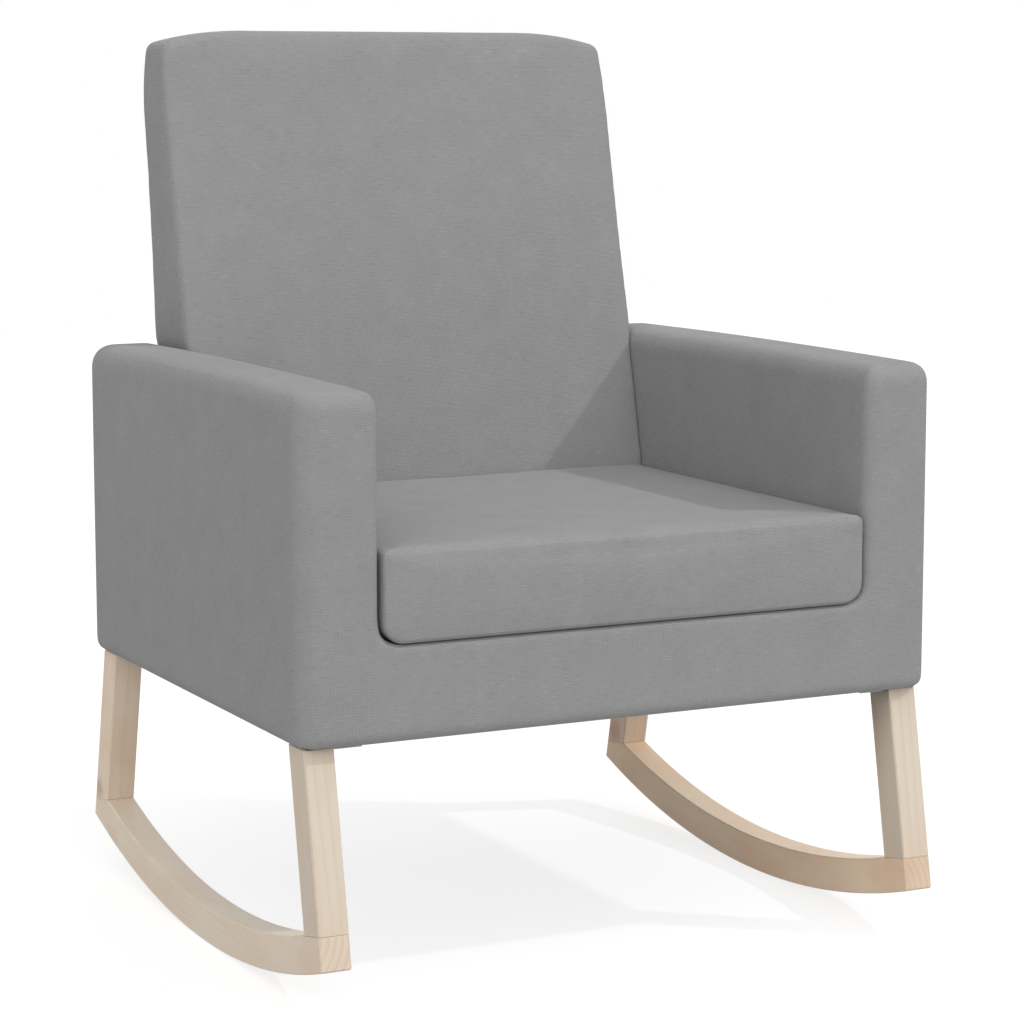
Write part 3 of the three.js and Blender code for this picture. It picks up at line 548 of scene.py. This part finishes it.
def make_pine_boards():
    """{node: material} for both runners and all four legs."""
    boards = {}
    for side in ("left", "right"):
        boards[f"runner_{side}"] = runner_pine(side)
        front, rear = f"front_leg_{side}", f"rear_leg_{side}"
        boards[front] = leg_pine(front, side, PINE_CREAM_PAINTED_SHADE, 0.075, ())
        knot = REAR_KNOTS[side]
        spot = spot_near_seam(rear, knot["forward"], knot["up"])
        boards[rear] = leg_pine(rear, side, PINE_PINK, -0.06, [(spot, knot["radius"])])
    return boards


pine_boards = make_pine_boards()
print("pine boards:", sorted(pine_boards))

# %% [markdown]
# ## Hidden timber and hardware
# The frame boards are rough softwood, warmer and more strongly ringed than the pine that
# shows. Dowels are beech, pale brown with short flecks. Plates, bolts, screws and tee nuts
# are dull zinc: a cool metal whose crystals give the shine small uneven patches.


# %% Frame timber, beech and zinc
def make_beech():
    beech = Finish("beech_dowel", Roughness=0.6)
    flecks = beech.noise(beech.mapped(beech.place, scale=(1500, 1500, 260)), 1.0, 2.0)
    shade = beech.mix(beech.span(flecks, 0.45, 0.7), (0.56, 0.36, 0.20), (0.38, 0.21, 0.10))
    return beech.done(shade, beech.span(flecks, 0.3, 0.7, 0.5, 0.7), flecks, 0.1 * MM)


def make_zinc():
    zinc = Finish("zinc_plate", Metallic=1.0)
    crystals = zinc.cells(zinc.place, 260)
    smear = zinc.noise(zinc.place, 120, 3.0)
    shade = zinc.mix(crystals, (0.20, 0.21, 0.22), (0.30, 0.30, 0.29))
    return zinc.done(shade, zinc.span(smear, 0.3, 0.7, 0.40, 0.58), smear, 0.03 * MM)


ROUGH_PALE = (0.62, 0.46, 0.27)
ROUGH_LATE = (0.42, 0.25, 0.12)
ROUGH_BLUSH = (0.56, 0.40, 0.23)
ROUGH_TONES = (ROUGH_PALE, ROUGH_LATE, ROUGH_BLUSH)
UNTURNED = (0, 0, 0)
frame_timber = make_wood(
    "frame_timber", ROUGH_TONES, 6 * MM, (0.05, 0.09, 0), UNTURNED, contrast=0.8, gloss=0.75
)
beech_dowel = make_beech()
zinc_plate = make_zinc()

HARDWARE = ("_leg_plate_", "_leg_screw_", "_frame_bolt_", "_tee_nut_", "back_bolt_")
TIMBER = ("_rail", "_post_", "back_stile_")


def finish_of(node):
    """The finish of a CAD node that stays as it is."""
    if any(word in node for word in HARDWARE):
        return zinc_plate
    if "_dowel_" in node:
        return beech_dowel
    if any(word in node for word in TIMBER):
        return frame_timber
    if "webbing" in node:
        return elastic_webbing
    if "foam" in node:
        return seat_foam
    if node in pine_boards:
        return pine_boards[node]
    return lining_cloth if node in ("deck_cloth", "dust_cover") else cover_cloth


for name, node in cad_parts.items():
    node.data.materials.clear()
    node.data.materials.append(finish_of(name))
print("finishes on CAD nodes:", len(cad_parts))

# %% [markdown]
# ## Pieces from points
# Every new piece is a mesh of our own. These helpers put one in the scene, copy a CAD
# node's mesh into a new object, and read modifiers back as plain geometry.


# %% Mesh helpers
def new_piece(name, mesh, body, material):
    piece = bpy.data.objects.new(name, mesh)
    scene.collection.objects.link(piece)
    mesh.materials.clear()
    mesh.materials.append(material)
    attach(piece, body)
    return piece


def mesh_from(bm, name):
    mesh = bpy.data.meshes.new(name)
    bm.to_mesh(mesh)
    bm.free()
    return mesh


def prism(axis, points, low, high):
    """A closed solid: the outline pushed along axis 0, 1 or 2. Points are the other two."""
    bm = bmesh.new()
    spots = [np.insert(np.array(point, float), axis, low) for point in points]
    ring = [bm.verts.new(spot) for spot in spots]
    face = bm.faces.new(ring)
    moved = bmesh.ops.extrude_face_region(bm, geom=[face])["geom"]
    shift = [0, 0, 0]
    shift[axis] = high - low
    new_verts = [part for part in moved if isinstance(part, bmesh.types.BMVert)]
    bmesh.ops.translate(bm, verts=new_verts, vec=shift)
    bmesh.ops.recalc_face_normals(bm, faces=bm.faces)
    return bm


def worked_out(piece):
    """The piece's mesh with its modifiers applied. The modifiers are then removed."""
    graph = bpy.context.evaluated_depsgraph_get()
    mesh = bpy.data.meshes.new_from_object(piece.evaluated_get(graph))
    piece.modifiers.clear()
    piece.data = mesh
    return mesh


def positions(mesh):
    flat = np.empty(len(mesh.vertices) * 3)
    mesh.vertices.foreach_get("co", flat)
    return flat.reshape(-1, 3)


def set_positions(mesh, points):
    mesh.vertices.foreach_set("co", points.astype(np.float32).ravel())
    mesh.update()


def smooth_faces(mesh):
    mesh.polygons.foreach_set("use_smooth", [True] * len(mesh.polygons))


print("mesh helpers ready")

# %% [markdown]
# ## The runner's outline
# A runner is sawn to an arc of one radius, and the chair rolls on it. The CAD arc has few
# facets, so we work out a fine one. The joint corners come from the legs that stand on it,
# less a hair's gap that keeps the two boards apart.

# %% Runner outline
ARC_STEPS = 110
JOINT_GAP = 0.3 * MM
RUNNER_RADIUS = 0.990
RUNNER_CENTRE_Y = -0.019
RUNNER_TIPS = (-0.321, 0.311)
TIMBER_DEPTH = 0.036


def arc(radius, from_y, to_y):
    ys = np.linspace(from_y, to_y, ARC_STEPS)
    zs = RUNNER_RADIUS - np.sqrt(radius**2 - (ys - RUNNER_CENTRE_Y) ** 2)
    return list(zip(ys, zs))


def runner_outline(side):
    """The runner seen from the side. Its joint corners come from the legs that stand on it."""
    front = profile_corners(f"front_leg_{side}")[:2]
    rear = profile_corners(f"rear_leg_{side}")[:2]
    front_toe, front_heel = front[np.argsort(front[:, 0])]
    rear_heel, rear_toe = rear[np.argsort(rear[:, 0])]
    top = arc(RUNNER_RADIUS - TIMBER_DEPTH, rear_heel[0], front_heel[0])
    return [
        *arc(RUNNER_RADIUS, *RUNNER_TIPS),
        (rear_toe[0], rear_toe[1] - JOINT_GAP),
        *[(y, z - JOINT_GAP) for y, z in top],
        (front_toe[0], front_toe[1] - JOINT_GAP),
    ]


print("runner outline points:", len(runner_outline("left")))

# %% [markdown]
# ## Legs and runners
# The legs are planed boards. Their CAD shape is right down to the pocket for the plate, but
# real edges are never knife sharp, so each leg is copied and its edges eased with a bevel.
# A runner is its outline pushed through its thickness, eased the same way and drilled for
# the dowels. The joint faces stay sharp, because the butt joint is sanded flush and shows
# as a thin line.

# %% Legs and runners
EASED = 1.1 * MM
SHARP_FROM = math.radians(28)
DOWEL_HOLE = (1.09, 1.09, 1.04)


def drill(piece, dowel):
    """Cuts a hole a little wider than the dowel out of the piece."""
    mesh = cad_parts[dowel].data.copy()
    points = positions(mesh)
    centre = points.mean(0)
    set_positions(mesh, centre + (points - centre) * DOWEL_HOLE)
    tool = bpy.data.objects.new("drill", mesh)
    scene.collection.objects.link(tool)
    cut = piece.modifiers.new("hole", "BOOLEAN")
    cut.operation = "DIFFERENCE"
    cut.object = tool
    worked_out(piece)
    bpy.data.objects.remove(tool)


def ease_edges(bm, keep_sharp):
    """Bevels every edge of more than 25 degrees for which keep_sharp is false."""
    sharp = [
        edge
        for edge in bm.edges
        if len(edge.link_faces) == 2
        and edge.calc_face_angle(0) > math.radians(25)
        and not keep_sharp(edge)
    ]
    bmesh.ops.bevel(bm, geom=sharp, offset=EASED, segments=2, affect="EDGES", clamp_overlap=True)


def planed(piece):
    """Smooth shading, except across an edge that turns by more than SHARP_FROM."""
    smooth_faces(piece.data)
    piece.data.set_sharp_from_angle(angle=SHARP_FROM)


def make_runner(side):
    node = f"runner_{side}"
    low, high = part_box(node)
    bm = prism(0, runner_outline(side), low.x, high.x)
    joints = [profile_corners(f"{end}_leg_{side}")[:2] for end in ("front", "rear")]

    def on_pair(spot, pair):
        return np.linalg.norm(pair - spot, axis=1).min() < 1 * MM

    def at_joint(edge):
        ends = [np.array(vert.co)[1:] for vert in edge.verts]
        return any(all(on_pair(spot, pair) for spot in ends) for pair in joints)

    ease_edges(bm, at_joint)
    runner = new_piece(f"pine_{node}", mesh_from(bm, node), "chair", pine_boards[node])
    for end in ("front", "rear"):
        for number in (1, 2):
            drill(runner, f"{end}_dowel_{side}_{number}")
    runner.data.materials.clear()  # drilling brought the dowels' finish along
    runner.data.materials.append(pine_boards[node])
    planed(runner)
    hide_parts(node)


def make_leg(node):
    bm = bmesh.new()
    bm.from_mesh(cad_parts[node].data)
    bmesh.ops.remove_doubles(bm, verts=bm.verts, dist=1e-6)
    bmesh.ops.dissolve_limit(bm, angle_limit=math.radians(1), verts=bm.verts, edges=bm.edges)
    joint_top = profile_corners(node)[1, 1] + 1 * MM
    faces_x = [corner.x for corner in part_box(node)]

    def on_side_face(vert):
        return min(abs(vert.co.x - x) for x in faces_x) < 1e-5

    def at_joint_or_inside(edge):
        at_joint = all(vert.co.z < joint_top for vert in edge.verts)
        return at_joint or not all(on_side_face(vert) for vert in edge.verts)

    ease_edges(bm, at_joint_or_inside)
    leg = new_piece(f"pine_{node}", mesh_from(bm, node), "chair", pine_boards[node])
    planed(leg)
    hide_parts(node)


for side in ("left", "right"):
    make_runner(side)
    for end in ("front", "rear"):
        make_leg(f"{end}_leg_{side}")

# %% [markdown]
# ## Soft shapes from distances
# Upholstery is foam pulled tight under cloth: nearly flat faces, a slight crown, and edges
# with a different softness each. We describe such a form by one number, how far a point
# lies outside it, made from a few planes. Two planes meet in a round edge of any radius, and
# a crown is a plane that swells in the middle.
#
# To get a mesh, we rough the form out as a prism, turn it into an even grid of small
# squares with a voxel remesh, and let every point settle on the described surface.


# %% Distance helpers
def meet(a, b, radius):
    """Inside both a and b, with the edge between them rounded."""
    inner = np.minimum(-radius, np.maximum(a, b))
    return inner + np.hypot(np.maximum(a + radius, 0), np.maximum(b + radius, 0))


def join(a, b, radius):
    """Inside a or b, with the hollow corner between them filled to this radius."""
    outer = np.maximum(radius, np.minimum(a, b))
    return outer - np.hypot(np.maximum(radius - a, 0), np.maximum(radius - b, 0))


def swell(share_a, share_b):
    """1 in the middle of a face and 0 at its edges. Each share runs from -1 to 1."""
    return np.clip(1 - share_a**2, 0, 1) * np.clip(1 - share_b**2, 0, 1)


def ease(value, low, high):
    """0 below low, 1 above high, and smooth between."""
    t = np.clip((value - low) / (high - low), 0, 1)
    return t * t * (3 - 2 * t)


def slopes(points, form, step=0.2 * MM):
    rows = [form(points + side) - form(points - side) for side in np.eye(3) * step]
    return np.stack(rows, axis=1) / (2 * step)


def settle(points, form, rounds=5):
    """Moves every point along the slope until it lies on the form's surface."""
    for _ in range(rounds):
        slope = slopes(points, form)
        steepness = np.maximum((slope**2).sum(1), 0.3)
        points = points - (form(points) / steepness)[:, None] * slope
    return points


def evenly_meshed(piece, voxel):
    """Replaces the mesh with an even grid of squares `voxel` wide."""
    remesh = piece.modifiers.new("even", "REMESH")
    remesh.mode = "VOXEL"
    remesh.voxel_size = voxel
    return worked_out(piece)


print("distance helpers ready")

# %% [markdown]
# ## Letting cloth find its tension
# A filled cover swells most in the middle of each face, and its corners are pulled in. The
# cloth solver works this out: the cover is blown up a little with no gravity, and we keep
# only a small share of what moved, because this upholstery is firm. Faces that rest on
# something are pinned.

# %% Cloth simulation
CLOTH_FRAMES = 20
CLOTH_PRESSURE = 4.0


def puffed(piece, pinned, cap):
    """How far a short cloth simulation moves each point, never more than `cap`."""
    rest = positions(piece.data)
    group = piece.vertex_groups.new(name="pinned")
    group.add(np.flatnonzero(pinned).tolist(), 1.0, "REPLACE")
    cloth = piece.modifiers.new("cloth", "CLOTH")
    cloth.settings.quality = 4
    cloth.settings.mass = 0.3
    cloth.settings.use_pressure = True
    cloth.settings.uniform_pressure_force = CLOTH_PRESSURE
    cloth.settings.effector_weights.gravity = 0
    cloth.settings.vertex_group_mass = "pinned"
    for number in range(1, CLOTH_FRAMES + 1):
        scene.frame_set(number)
    graph = bpy.context.evaluated_depsgraph_get()
    simulated = positions(piece.evaluated_get(graph).to_mesh())
    piece.modifiers.clear()
    piece.vertex_groups.clear()
    scene.frame_set(1)
    moved = simulated - rest
    far = np.linalg.norm(moved, axis=1, keepdims=True)
    print(f"  {piece.name}: cloth moved up to {far.max() / MM:.1f} mm, kept up to {cap / MM:.1f} mm")
    return moved * (cap / (cap + far))


def soft_piece(name, bm, form, voxel, body):
    """A roughed-out solid, meshed evenly and settled on its form."""
    piece = new_piece(name, mesh_from(bm, name), body, cover_cloth)
    mesh = evenly_meshed(piece, voxel)
    mesh.name = name
    set_positions(mesh, settle(positions(mesh), form))
    mesh.materials.clear()
    mesh.materials.append(cover_cloth)
    smooth_faces(mesh)
    return piece


def subdivide(piece):
    """One Catmull-Clark level as plain geometry."""
    finer = piece.modifiers.new("finer", "SUBSURF")
    finer.levels = 1
    finer.render_levels = 1
    smooth_faces(worked_out(piece))


print("cloth helper ready")

# %% [markdown]
# ## The tub: two arms and an apron
# One cover goes round both arms, the apron and the rear rail. Seen from the front it is a U.
# The arm tops are crowned, and softer at the rear end than at the front. It is a real cover
# here, with a wall thickness, open below for the lining and open over the deck, where the
# seat straps are. The deck shows when the cushion is lifted out.

# %% Tub cover
tub_low, tub_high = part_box("body_cover")
ARM_INNER = 0.259
DECK = 0.337
DECK_CORNER = 20 * MM
FRONT_CORNER = 24 * MM
REAR_CORNER = 20 * MM
BOTTOM_EDGE = 11 * MM
SIDE_CROWN = 1.5 * MM
TOP_CROWN = 2 * MM
COVER_WALL = 1.4 * MM
TUB_VOXEL = 6 * MM
DECK_OPENING = {"half": 0.249, "front": -0.240, "rear": 0.252}


def tub_form(p):
    x, y, z = np.abs(p[:, 0]), p[:, 1], p[:, 2]
    middle_y = (tub_low.y + tub_high.y) / 2
    middle_z = (tub_low.z + tub_high.z) / 2
    along = (y - middle_y) / (tub_high.y - middle_y)
    upward = (z - middle_z) / (tub_high.z - middle_z)
    outer = x - tub_high.x - SIDE_CROWN * swell(along, upward) + 1.0 * MM
    front = tub_low.y - y
    rear = y - tub_high.y
    below = tub_low.z - z
    top = z - tub_high.z - TOP_CROWN * swell(along, np.zeros_like(along))
    u_shape = join(ARM_INNER - x, z - DECK, DECK_CORNER)
    on_arm = ease(z, DECK + 2 * MM, DECK + 26 * MM)
    walls = meet(meet(outer, front, FRONT_CORNER), rear, REAR_CORNER)
    walls = meet(walls, u_shape, 4 * MM + 6 * MM * on_arm)
    walls = meet(walls, top, 19 * MM + 4 * MM * ease(y, 0.0, tub_high.y))
    return meet(walls, below, BOTTOM_EDGE)


def tub_block():
    half, low, high = tub_high.x, tub_low.z, tub_high.z
    u_shape = [
        (-half, low), (half, low), (half, high), (ARM_INNER, high),
        (ARM_INNER, DECK), (-ARM_INNER, DECK), (-ARM_INNER, high), (-half, high),
    ]
    return prism(1, u_shape, tub_low.y, tub_high.y)


def cut_openings(piece):
    """Opens the cover over the deck and under the frame."""
    dust_low, dust_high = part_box("dust_cover")
    bm = bmesh.new()
    bm.from_mesh(piece.data)
    gone = []
    for face in bm.faces:
        x, y, z = face.calc_center_median()
        over_deck = abs(x) < DECK_OPENING["half"] and DECK_OPENING["front"] < y < DECK_OPENING["rear"]
        under_frame = dust_low.x < x < dust_high.x and dust_low.y < y < dust_high.y
        at_deck = abs(z - DECK) < 1 * MM
        at_bottom = z < tub_low.z + 0.5 * MM
        if (over_deck and at_deck) or (under_frame and at_bottom):
            gone.append(face)
    bmesh.ops.delete(bm, geom=gone, context="FACES")
    bm.to_mesh(piece.data)
    bm.free()


def make_tub():
    tub = soft_piece("tub_cover", tub_block(), tub_form, TUB_VOXEL, "chair")
    cut_openings(tub)
    subdivide(tub)
    wall = tub.modifiers.new("wall", "SOLIDIFY")
    wall.thickness = COVER_WALL
    wall.offset = -1
    smooth_faces(worked_out(tub))
    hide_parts("body_cover")
    return tub


tub = make_tub()
print("tub faces:", len(tub.data.polygons))

# %% [markdown]
# ## The backrest
# The back leans 13 degrees. It is a little wider than the gap between the arms, so it bulges
# over their inner edges. Its top is straight in the middle and falls towards both corners,
# and it gets thinner upwards. The rear face is upright as far as the arms go. What the cloth
# moved fades in with height, so no line shows where it starts.

# %% Backrest cover
back_low, back_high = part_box("back_cover")
BACK_VOXEL = 5 * MM
FACE_AT = {"y": 0.152, "z": 0.43175, "rake": 0.229}
REAR_AT = {"y": 0.2855, "z": 0.5726, "rake": 0.114}
BACK_BETWEEN_ARMS = 0.2588
BACK_UPRIGHT_Y = 0.2814
KNEE_Z = 0.550
OVER_ARMS = (0.546, 0.580)
FACE_CROWN = 3.0 * MM
REAR_CROWN = 2.0 * MM


def plane_y(plane, z):
    return plane["y"] + plane["rake"] * (z - plane["z"])


def drawn_in(value, start, span, most, amount):
    """0 up to start, `amount` one span later, growing with the square for `most` spans."""
    return amount * np.clip((value - start) / span, 0, most) ** 2


def back_form(p):
    x, y, z = np.abs(p[:, 0]), p[:, 1], p[:, 2]
    widest = back_high.x
    over_arms = ease(z, *OVER_ARMS)
    half = BACK_BETWEEN_ARMS + (widest - BACK_BETWEEN_ARMS) * over_arms
    half = half - drawn_in(z, 0.80, 0.10, 1.1, 7.5 * MM)
    width_share = x / widest
    face = (plane_y(FACE_AT, z) - y) / math.hypot(1, FACE_AT["rake"])
    face = face - FACE_CROWN * swell(width_share, (z - 0.655) / 0.245)
    upright = np.maximum(y - BACK_UPRIGHT_Y, -1.0)
    raked = (y - plane_y(REAR_AT, z)) / math.hypot(1, REAR_AT["rake"])
    raked = raked + drawn_in(z, 0.82, 0.08, 1.1, 9 * MM)
    raked = raked - REAR_CROWN * swell(width_share, (z - 0.72) / 0.18)
    behind = np.where(z < KNEE_Z - 5 * MM, upright, np.minimum(upright, raked))
    top = z - back_high.z + drawn_in(x, 0.160, 0.100, 1.2, 15 * MM)
    walls = meet(x - half, face, 3.5 * MM + 4.5 * MM * over_arms)
    walls = meet(walls, behind, 9 * MM)
    walls = meet(walls, top, 7 * MM)
    foot_corner = meet(back_low.z - z, x - half, 20 * MM)
    return np.maximum(walls, foot_corner)


def back_block():
    z0, z1 = back_low.z, back_high.z
    outline = [
        (plane_y(FACE_AT, z0), z0), (BACK_UPRIGHT_Y, z0), (BACK_UPRIGHT_Y, KNEE_Z),
        (plane_y(REAR_AT, z1), z1), (plane_y(FACE_AT, z1), z1),
    ]
    return prism(0, outline, -back_high.x, back_high.x)


def make_back():
    back = soft_piece("backrest_cover", back_block(), back_form, BACK_VOXEL, "chair")
    rest = positions(back.data)
    height = rest[:, 2]
    moved = puffed(back, height < 0.450, 3 * MM)
    free = ease(height, 0.50, 0.70)[:, None]
    set_positions(back.data, rest + moved * free)
    subdivide(back)
    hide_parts("back_cover")
    return back


back = make_back()
print("backrest faces:", len(back.data.polygons))

# %% [markdown]
# ## The seat cushion
# A box cushion is cut from a slab of foam and covered with a top, a bottom and a border
# strip. The seams run round the top and bottom edges, where two layers of cloth are turned
# in, so the edge is crisp and slightly drawn. It fits between the arms with a few
# millimetres to spare, and its lower corners follow the rounded corners of the deck.

# %% Seat cushion cover
seat_low, seat_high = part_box("cushion_cover")
CUSHION_VOXEL = 4 * MM
CUSHION_MIDDLE_Y = -0.080
CUSHION_HALF_DEPTH = 0.225
LOW_CORNER = 21 * MM
SEAM_DEPTH = 0.7 * MM
SEAM_SPREAD = 0.13
GATHERS = 2 * math.pi / (11 * MM)


def cushion_form(p):
    x, y, z = np.abs(p[:, 0]), p[:, 1], p[:, 2]
    middle_z = (seat_low.z + seat_high.z) / 2
    half_z = (seat_high.z - seat_low.z) / 2
    width_share = x / seat_high.x
    depth_share = (y - CUSHION_MIDDLE_Y) / CUSHION_HALF_DEPTH
    side = x - seat_high.x
    front = seat_low.y - y - 1.2 * MM * swell(width_share, (z - middle_z) / half_z)
    rear = (y - plane_y(FACE_AT, z)) / math.hypot(1, FACE_AT["rake"]) + 1 * MM
    below = seat_low.z - z
    top = z - seat_high.z - 2.0 * MM * swell(width_share, depth_share) + 0.5 * MM
    walls = meet(meet(side, below, LOW_CORNER), front, 5 * MM)
    walls = meet(walls, rear, 6 * MM)
    return meet(walls, top, 7 * MM)


def cushion_block():
    outline = [
        (seat_low.y, seat_low.z),
        (plane_y(FACE_AT, seat_low.z) - 1 * MM, seat_low.z),
        (plane_y(FACE_AT, seat_high.z) - 1 * MM, seat_high.z),
        (seat_low.y, seat_high.z),
    ]
    return prism(0, outline, -seat_high.x, seat_high.x)


def draw_in_seams(points, form):
    """Presses a narrow line into the middle of the top and bottom edges."""
    slope = slopes(points, form)
    slope = slope / np.linalg.norm(slope, axis=1, keepdims=True)
    lean = np.abs(slope[:, 2]) - math.sqrt(0.5)
    dent = np.exp(-((lean / SEAM_SPREAD) ** 2))
    gather = 1 + 0.4 * np.sin(points[:, 0] * GATHERS) * np.sin(points[:, 1] * GATHERS + 1.0)
    return points - slope * (SEAM_DEPTH * dent * gather)[:, None]


def make_cushion():
    cushion = soft_piece("seat_cushion_cover", cushion_block(), cushion_form, CUSHION_VOXEL, "seat_cushion")
    rest = positions(cushion.data)
    held = (rest[:, 2] < seat_low.z + 10 * MM) | (np.abs(rest[:, 0]) > seat_high.x - 2 * MM)
    set_positions(cushion.data, rest + puffed(cushion, held, 2 * MM))
    subdivide(cushion)
    set_positions(cushion.data, draw_in_seams(positions(cushion.data), cushion_form))
    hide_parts("cushion_cover")
    return cushion


cushion = make_cushion()
print("cushion faces:", len(cushion.data.polygons))

# %% [markdown]
# ## Foam under the covers
# The foam never shows, but the covers are softer at their edges than the CAD solids are, so
# sharp foam corners could poke through. Each foam block is copied, its corners are taken
# off as an upholsterer trims them with a knife, and any point still too near the cover's
# form is pressed in below it.

# %% Foam blocks
FOAM_TRIM = 4 * MM


def tucked(points, form, depth):
    """Points pressed inwards until each lies at least `depth` inside the form."""
    for _ in range(6):
        slope = slopes(points, form)
        steepness = np.maximum((slope**2).sum(1), 0.3)
        out = np.maximum(form(points) + depth, 0)
        points = points - (out / steepness)[:, None] * slope
    return points


def without_slivers(mesh):
    """Joins points that the pressing brought together, so that no flat sliver is left."""
    bm = bmesh.new()
    bm.from_mesh(mesh)
    bmesh.ops.remove_doubles(bm, verts=bm.verts, dist=0.3 * MM)
    bmesh.ops.dissolve_degenerate(bm, edges=bm.edges, dist=0.1 * MM)
    bm.to_mesh(mesh)
    bm.free()


def make_foam_block(node, body, form, below):
    bm = bmesh.new()
    bm.from_mesh(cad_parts[node].data)
    bmesh.ops.remove_doubles(bm, verts=bm.verts, dist=1e-6)
    bmesh.ops.dissolve_limit(bm, angle_limit=math.radians(1), verts=bm.verts, edges=bm.edges)
    foam = new_piece(f"trimmed_{node}", mesh_from(bm, node), body, seat_foam)
    trim = foam.modifiers.new("trim", "BEVEL")
    trim.width = FOAM_TRIM
    trim.segments = 2
    trim.limit_method = "ANGLE"
    trim.angle_limit = math.radians(40)
    worked_out(foam)
    set_positions(foam.data, tucked(positions(foam.data), form, below))
    without_slivers(foam.data)
    smooth_faces(foam.data)
    foam.data.set_sharp_from_angle(angle=math.radians(35))
    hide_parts(node)


make_foam_block("body_foam", "chair", tub_form, 2.6 * MM)
make_foam_block("back_foam", "chair", back_form, 6 * MM)
make_foam_block("cushion_foam", "seat_cushion", cushion_form, 5 * MM)
print("foam blocks trimmed")

# %% [markdown]
# ## Two sheets of lining
# The deck cloth lies over the seat straps and sags a little between them. The dust cover is
# pulled tight under the frame and stapled, with a hole over each bolt. Both are cut from
# flat lining, so each is a fine grid that only dips slightly.

# %% Lining sheets
SHEET_CELL = 8 * MM
BOLT_HOLE = 7 * MM


def sheet_grid(low, high, z_at):
    """A grid over the box's width and depth, at the heights that z_at gives."""
    across = int((high.x - low.x) / SHEET_CELL)
    along = int((high.y - low.y) / SHEET_CELL)
    bm = bmesh.new()
    bmesh.ops.create_grid(bm, x_segments=across, y_segments=along, size=0.5)
    for vert in bm.verts:
        x = (low.x + high.x) / 2 + vert.co.x * (high.x - low.x)
        y = (low.y + high.y) / 2 + vert.co.y * (high.y - low.y)
        vert.co = (x, y, z_at(x, y))
    return bm


def make_sheet(node, z_at, thickness, holes=()):
    low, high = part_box(node)
    bm = sheet_grid(low, high, z_at)
    pierced = [
        face
        for face in bm.faces
        if any(math.dist(face.calc_center_median()[:2], hole) < BOLT_HOLE for hole in holes)
    ]
    bmesh.ops.delete(bm, geom=pierced, context="FACES")
    sheet = new_piece(f"{node}_sheet", mesh_from(bm, node), "chair", lining_cloth)
    layer = sheet.modifiers.new("cloth", "SOLIDIFY")
    layer.thickness = thickness
    layer.offset = 0
    worked_out(sheet)
    smooth_faces(sheet.data)
    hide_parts(node)


deck_low, deck_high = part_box("deck_cloth")
dust_low, dust_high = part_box("dust_cover")


def deck_height(x, y):
    wave = math.sin(x * math.pi / 0.040) * math.sin(y * math.pi / 0.050)
    return (deck_low.z + deck_high.z) / 2 + 0.25 * MM * wave


def dust_height(x, y):
    across = np.array(x / dust_high.x)
    along = np.array((y - dust_low.y) / (dust_high.y - dust_low.y) * 2 - 1)
    return (dust_low.z + dust_high.z) / 2 + 0.8 * MM * float(swell(across, along)) - 0.2 * MM


def bolt_place(end, side):
    low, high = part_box(f"{end}_frame_bolt_{side}")
    return (low.x + high.x) / 2, (low.y + high.y) / 2


bolt_places = [bolt_place(end, side) for side in ("left", "right") for end in ("front", "rear")]
make_sheet("deck_cloth", deck_height, 0.6 * MM)
make_sheet("dust_cover", dust_height, 0.5 * MM, bolt_places)
